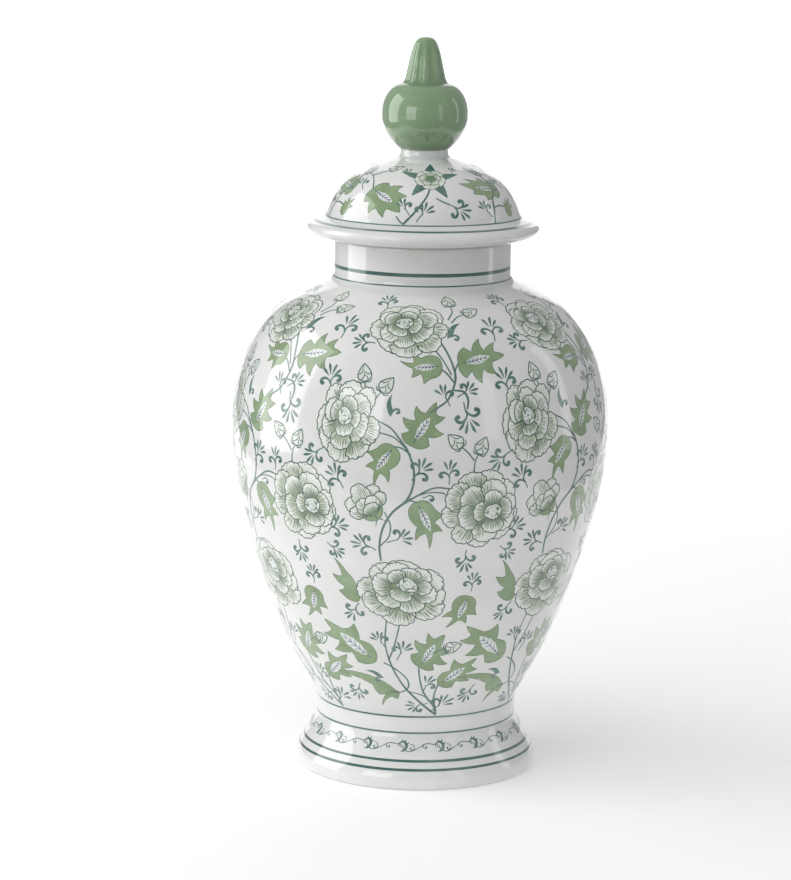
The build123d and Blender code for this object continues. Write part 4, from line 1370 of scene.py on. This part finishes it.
# ======================================================================
# stage and light
# ======================================================================
def stage_mat():
    m, nt, b = new_mat("floor_painted_glow")
    v = obj_coords(nt)
    col = ramp(nt, noise(nt, v, 3.0, 3.0, 0.5), [(0.3, srgb(246, 246, 246)), (0.7, srgb(250, 250, 250))])
    nt.links.new(col, b.inputs["Base Color"])
    # painted light: the sweep glows by its own emission, strongest at the back and weakest on the floor under the jar,
    # where the low glow is painted shade
    sep = nt.nodes.new("ShaderNodeSeparateXYZ")
    nt.links.new(v, sep.inputs[0])
    glow = ramp(nt, remap(nt, sep.outputs[1], -0.5, 3.0), [(0.10, (0.25, 0.25, 0.25)), (0.30, (0.50, 0.50, 0.50)), (0.70, (1.0, 1.0, 1.0))])
    nt.links.new(glow, b.inputs["Emission Color"])
    b.inputs["Emission Strength"].default_value = 0.62
    b.inputs["Roughness"].default_value = 0.9
    b.inputs["Specular IOR Level"].default_value = 0.1
    return m


def sweep():
    prof = [(-0.42, 0.0), (0.2, 0.0), (0.9, 0.0), (1.6, 0.0), (2.4, 0.0)]
    for k in range(1, 13):
        a = k / 12 * math.pi / 2
        prof.append((2.4 + 0.8 * math.sin(a), 0.8 - 0.8 * math.cos(a)))
    prof.append((3.2, 3.4))
    xs = [-0.60, -0.3, 0.0, 0.26, 0.52]
    verts = [(x * (1 + 0.24 * max(y - 0.2, 0)), y, z) for (y, z) in prof for x in xs]
    faces = []
    m = len(xs)
    for i in range(len(prof) - 1):
        for j in range(m - 1):
            faces.append((i * m + j, i * m + j + 1, (i + 1) * m + j + 1, (i + 1) * m + j))
    return make_object("studio_sweep", verts, faces, stage_mat())


sweep()


def area(name, loc, target, size, size_y, power, color=(1, 1, 1), spread=None):
    ld = bpy.data.lights.new(name, "AREA")
    ld.shape = "RECTANGLE"
    ld.size, ld.size_y = size, size_y
    ld.energy = power
    ld.color = color
    if spread is not None:
        ld.spread = math.radians(spread)
    ob = bpy.data.objects.new(name, ld)
    ob.location = loc
    d = Vector(target) - Vector(loc)
    ob.rotation_euler = d.to_track_quat("-Z", "Y").to_euler()
    SCENE.collection.objects.link(ob)
    return ob


def ring_light(name, az, dist, z, w, h, radiance, color=(1, 1, 1), aim_z=0.24):
    """Upright soft panel at an azimuth (degrees from the camera side, + to the right)."""
    t = math.radians(az)
    loc = (dist * math.sin(t), -dist * math.cos(t), z)
    return area(name, loc, (0, 0, aim_z), w, h, radiance * w * h * math.pi, color)


ring_light("key_left", -94, 1.50, 0.62, 1.00, 1.7, 2.15, (1.0, 0.997, 0.99))
ring_light("window", -37, 1.90, 0.62, 0.95, 0.90, 2.0)
ring_light("panel_right", 43, 1.90, 0.70, 0.34, 1.2, 0.65)
ring_light("strip_right", 98, 1.50, 0.55, 0.22, 1.4, 0.95)
top = area("top_left", (-0.80, -1.00, 2.05), (0, 0, 0.25), 2.3, 2.0, 1.30 * 4.6 * math.pi)
top.visible_glossy = False

world = bpy.data.worlds.new("studio")
world.use_nodes = True
bg = world.node_tree.nodes.get("Background") or world.node_tree.nodes.new("ShaderNodeBackground")
bg.inputs["Color"].default_value = (0.93, 0.94, 0.95, 1)
bg.inputs["Strength"].default_value = 0.43
wo = world.node_tree.nodes.get("World Output") or world.node_tree.nodes.new("ShaderNodeOutputWorld")
if not wo.inputs[0].is_linked:
    world.node_tree.links.new(bg.outputs[0], wo.inputs[0])
SCENE.world = world
SCENE.view_settings.view_transform = "Standard"
SCENE.view_settings.look = "None"
SCENE.view_settings.exposure = 0.0
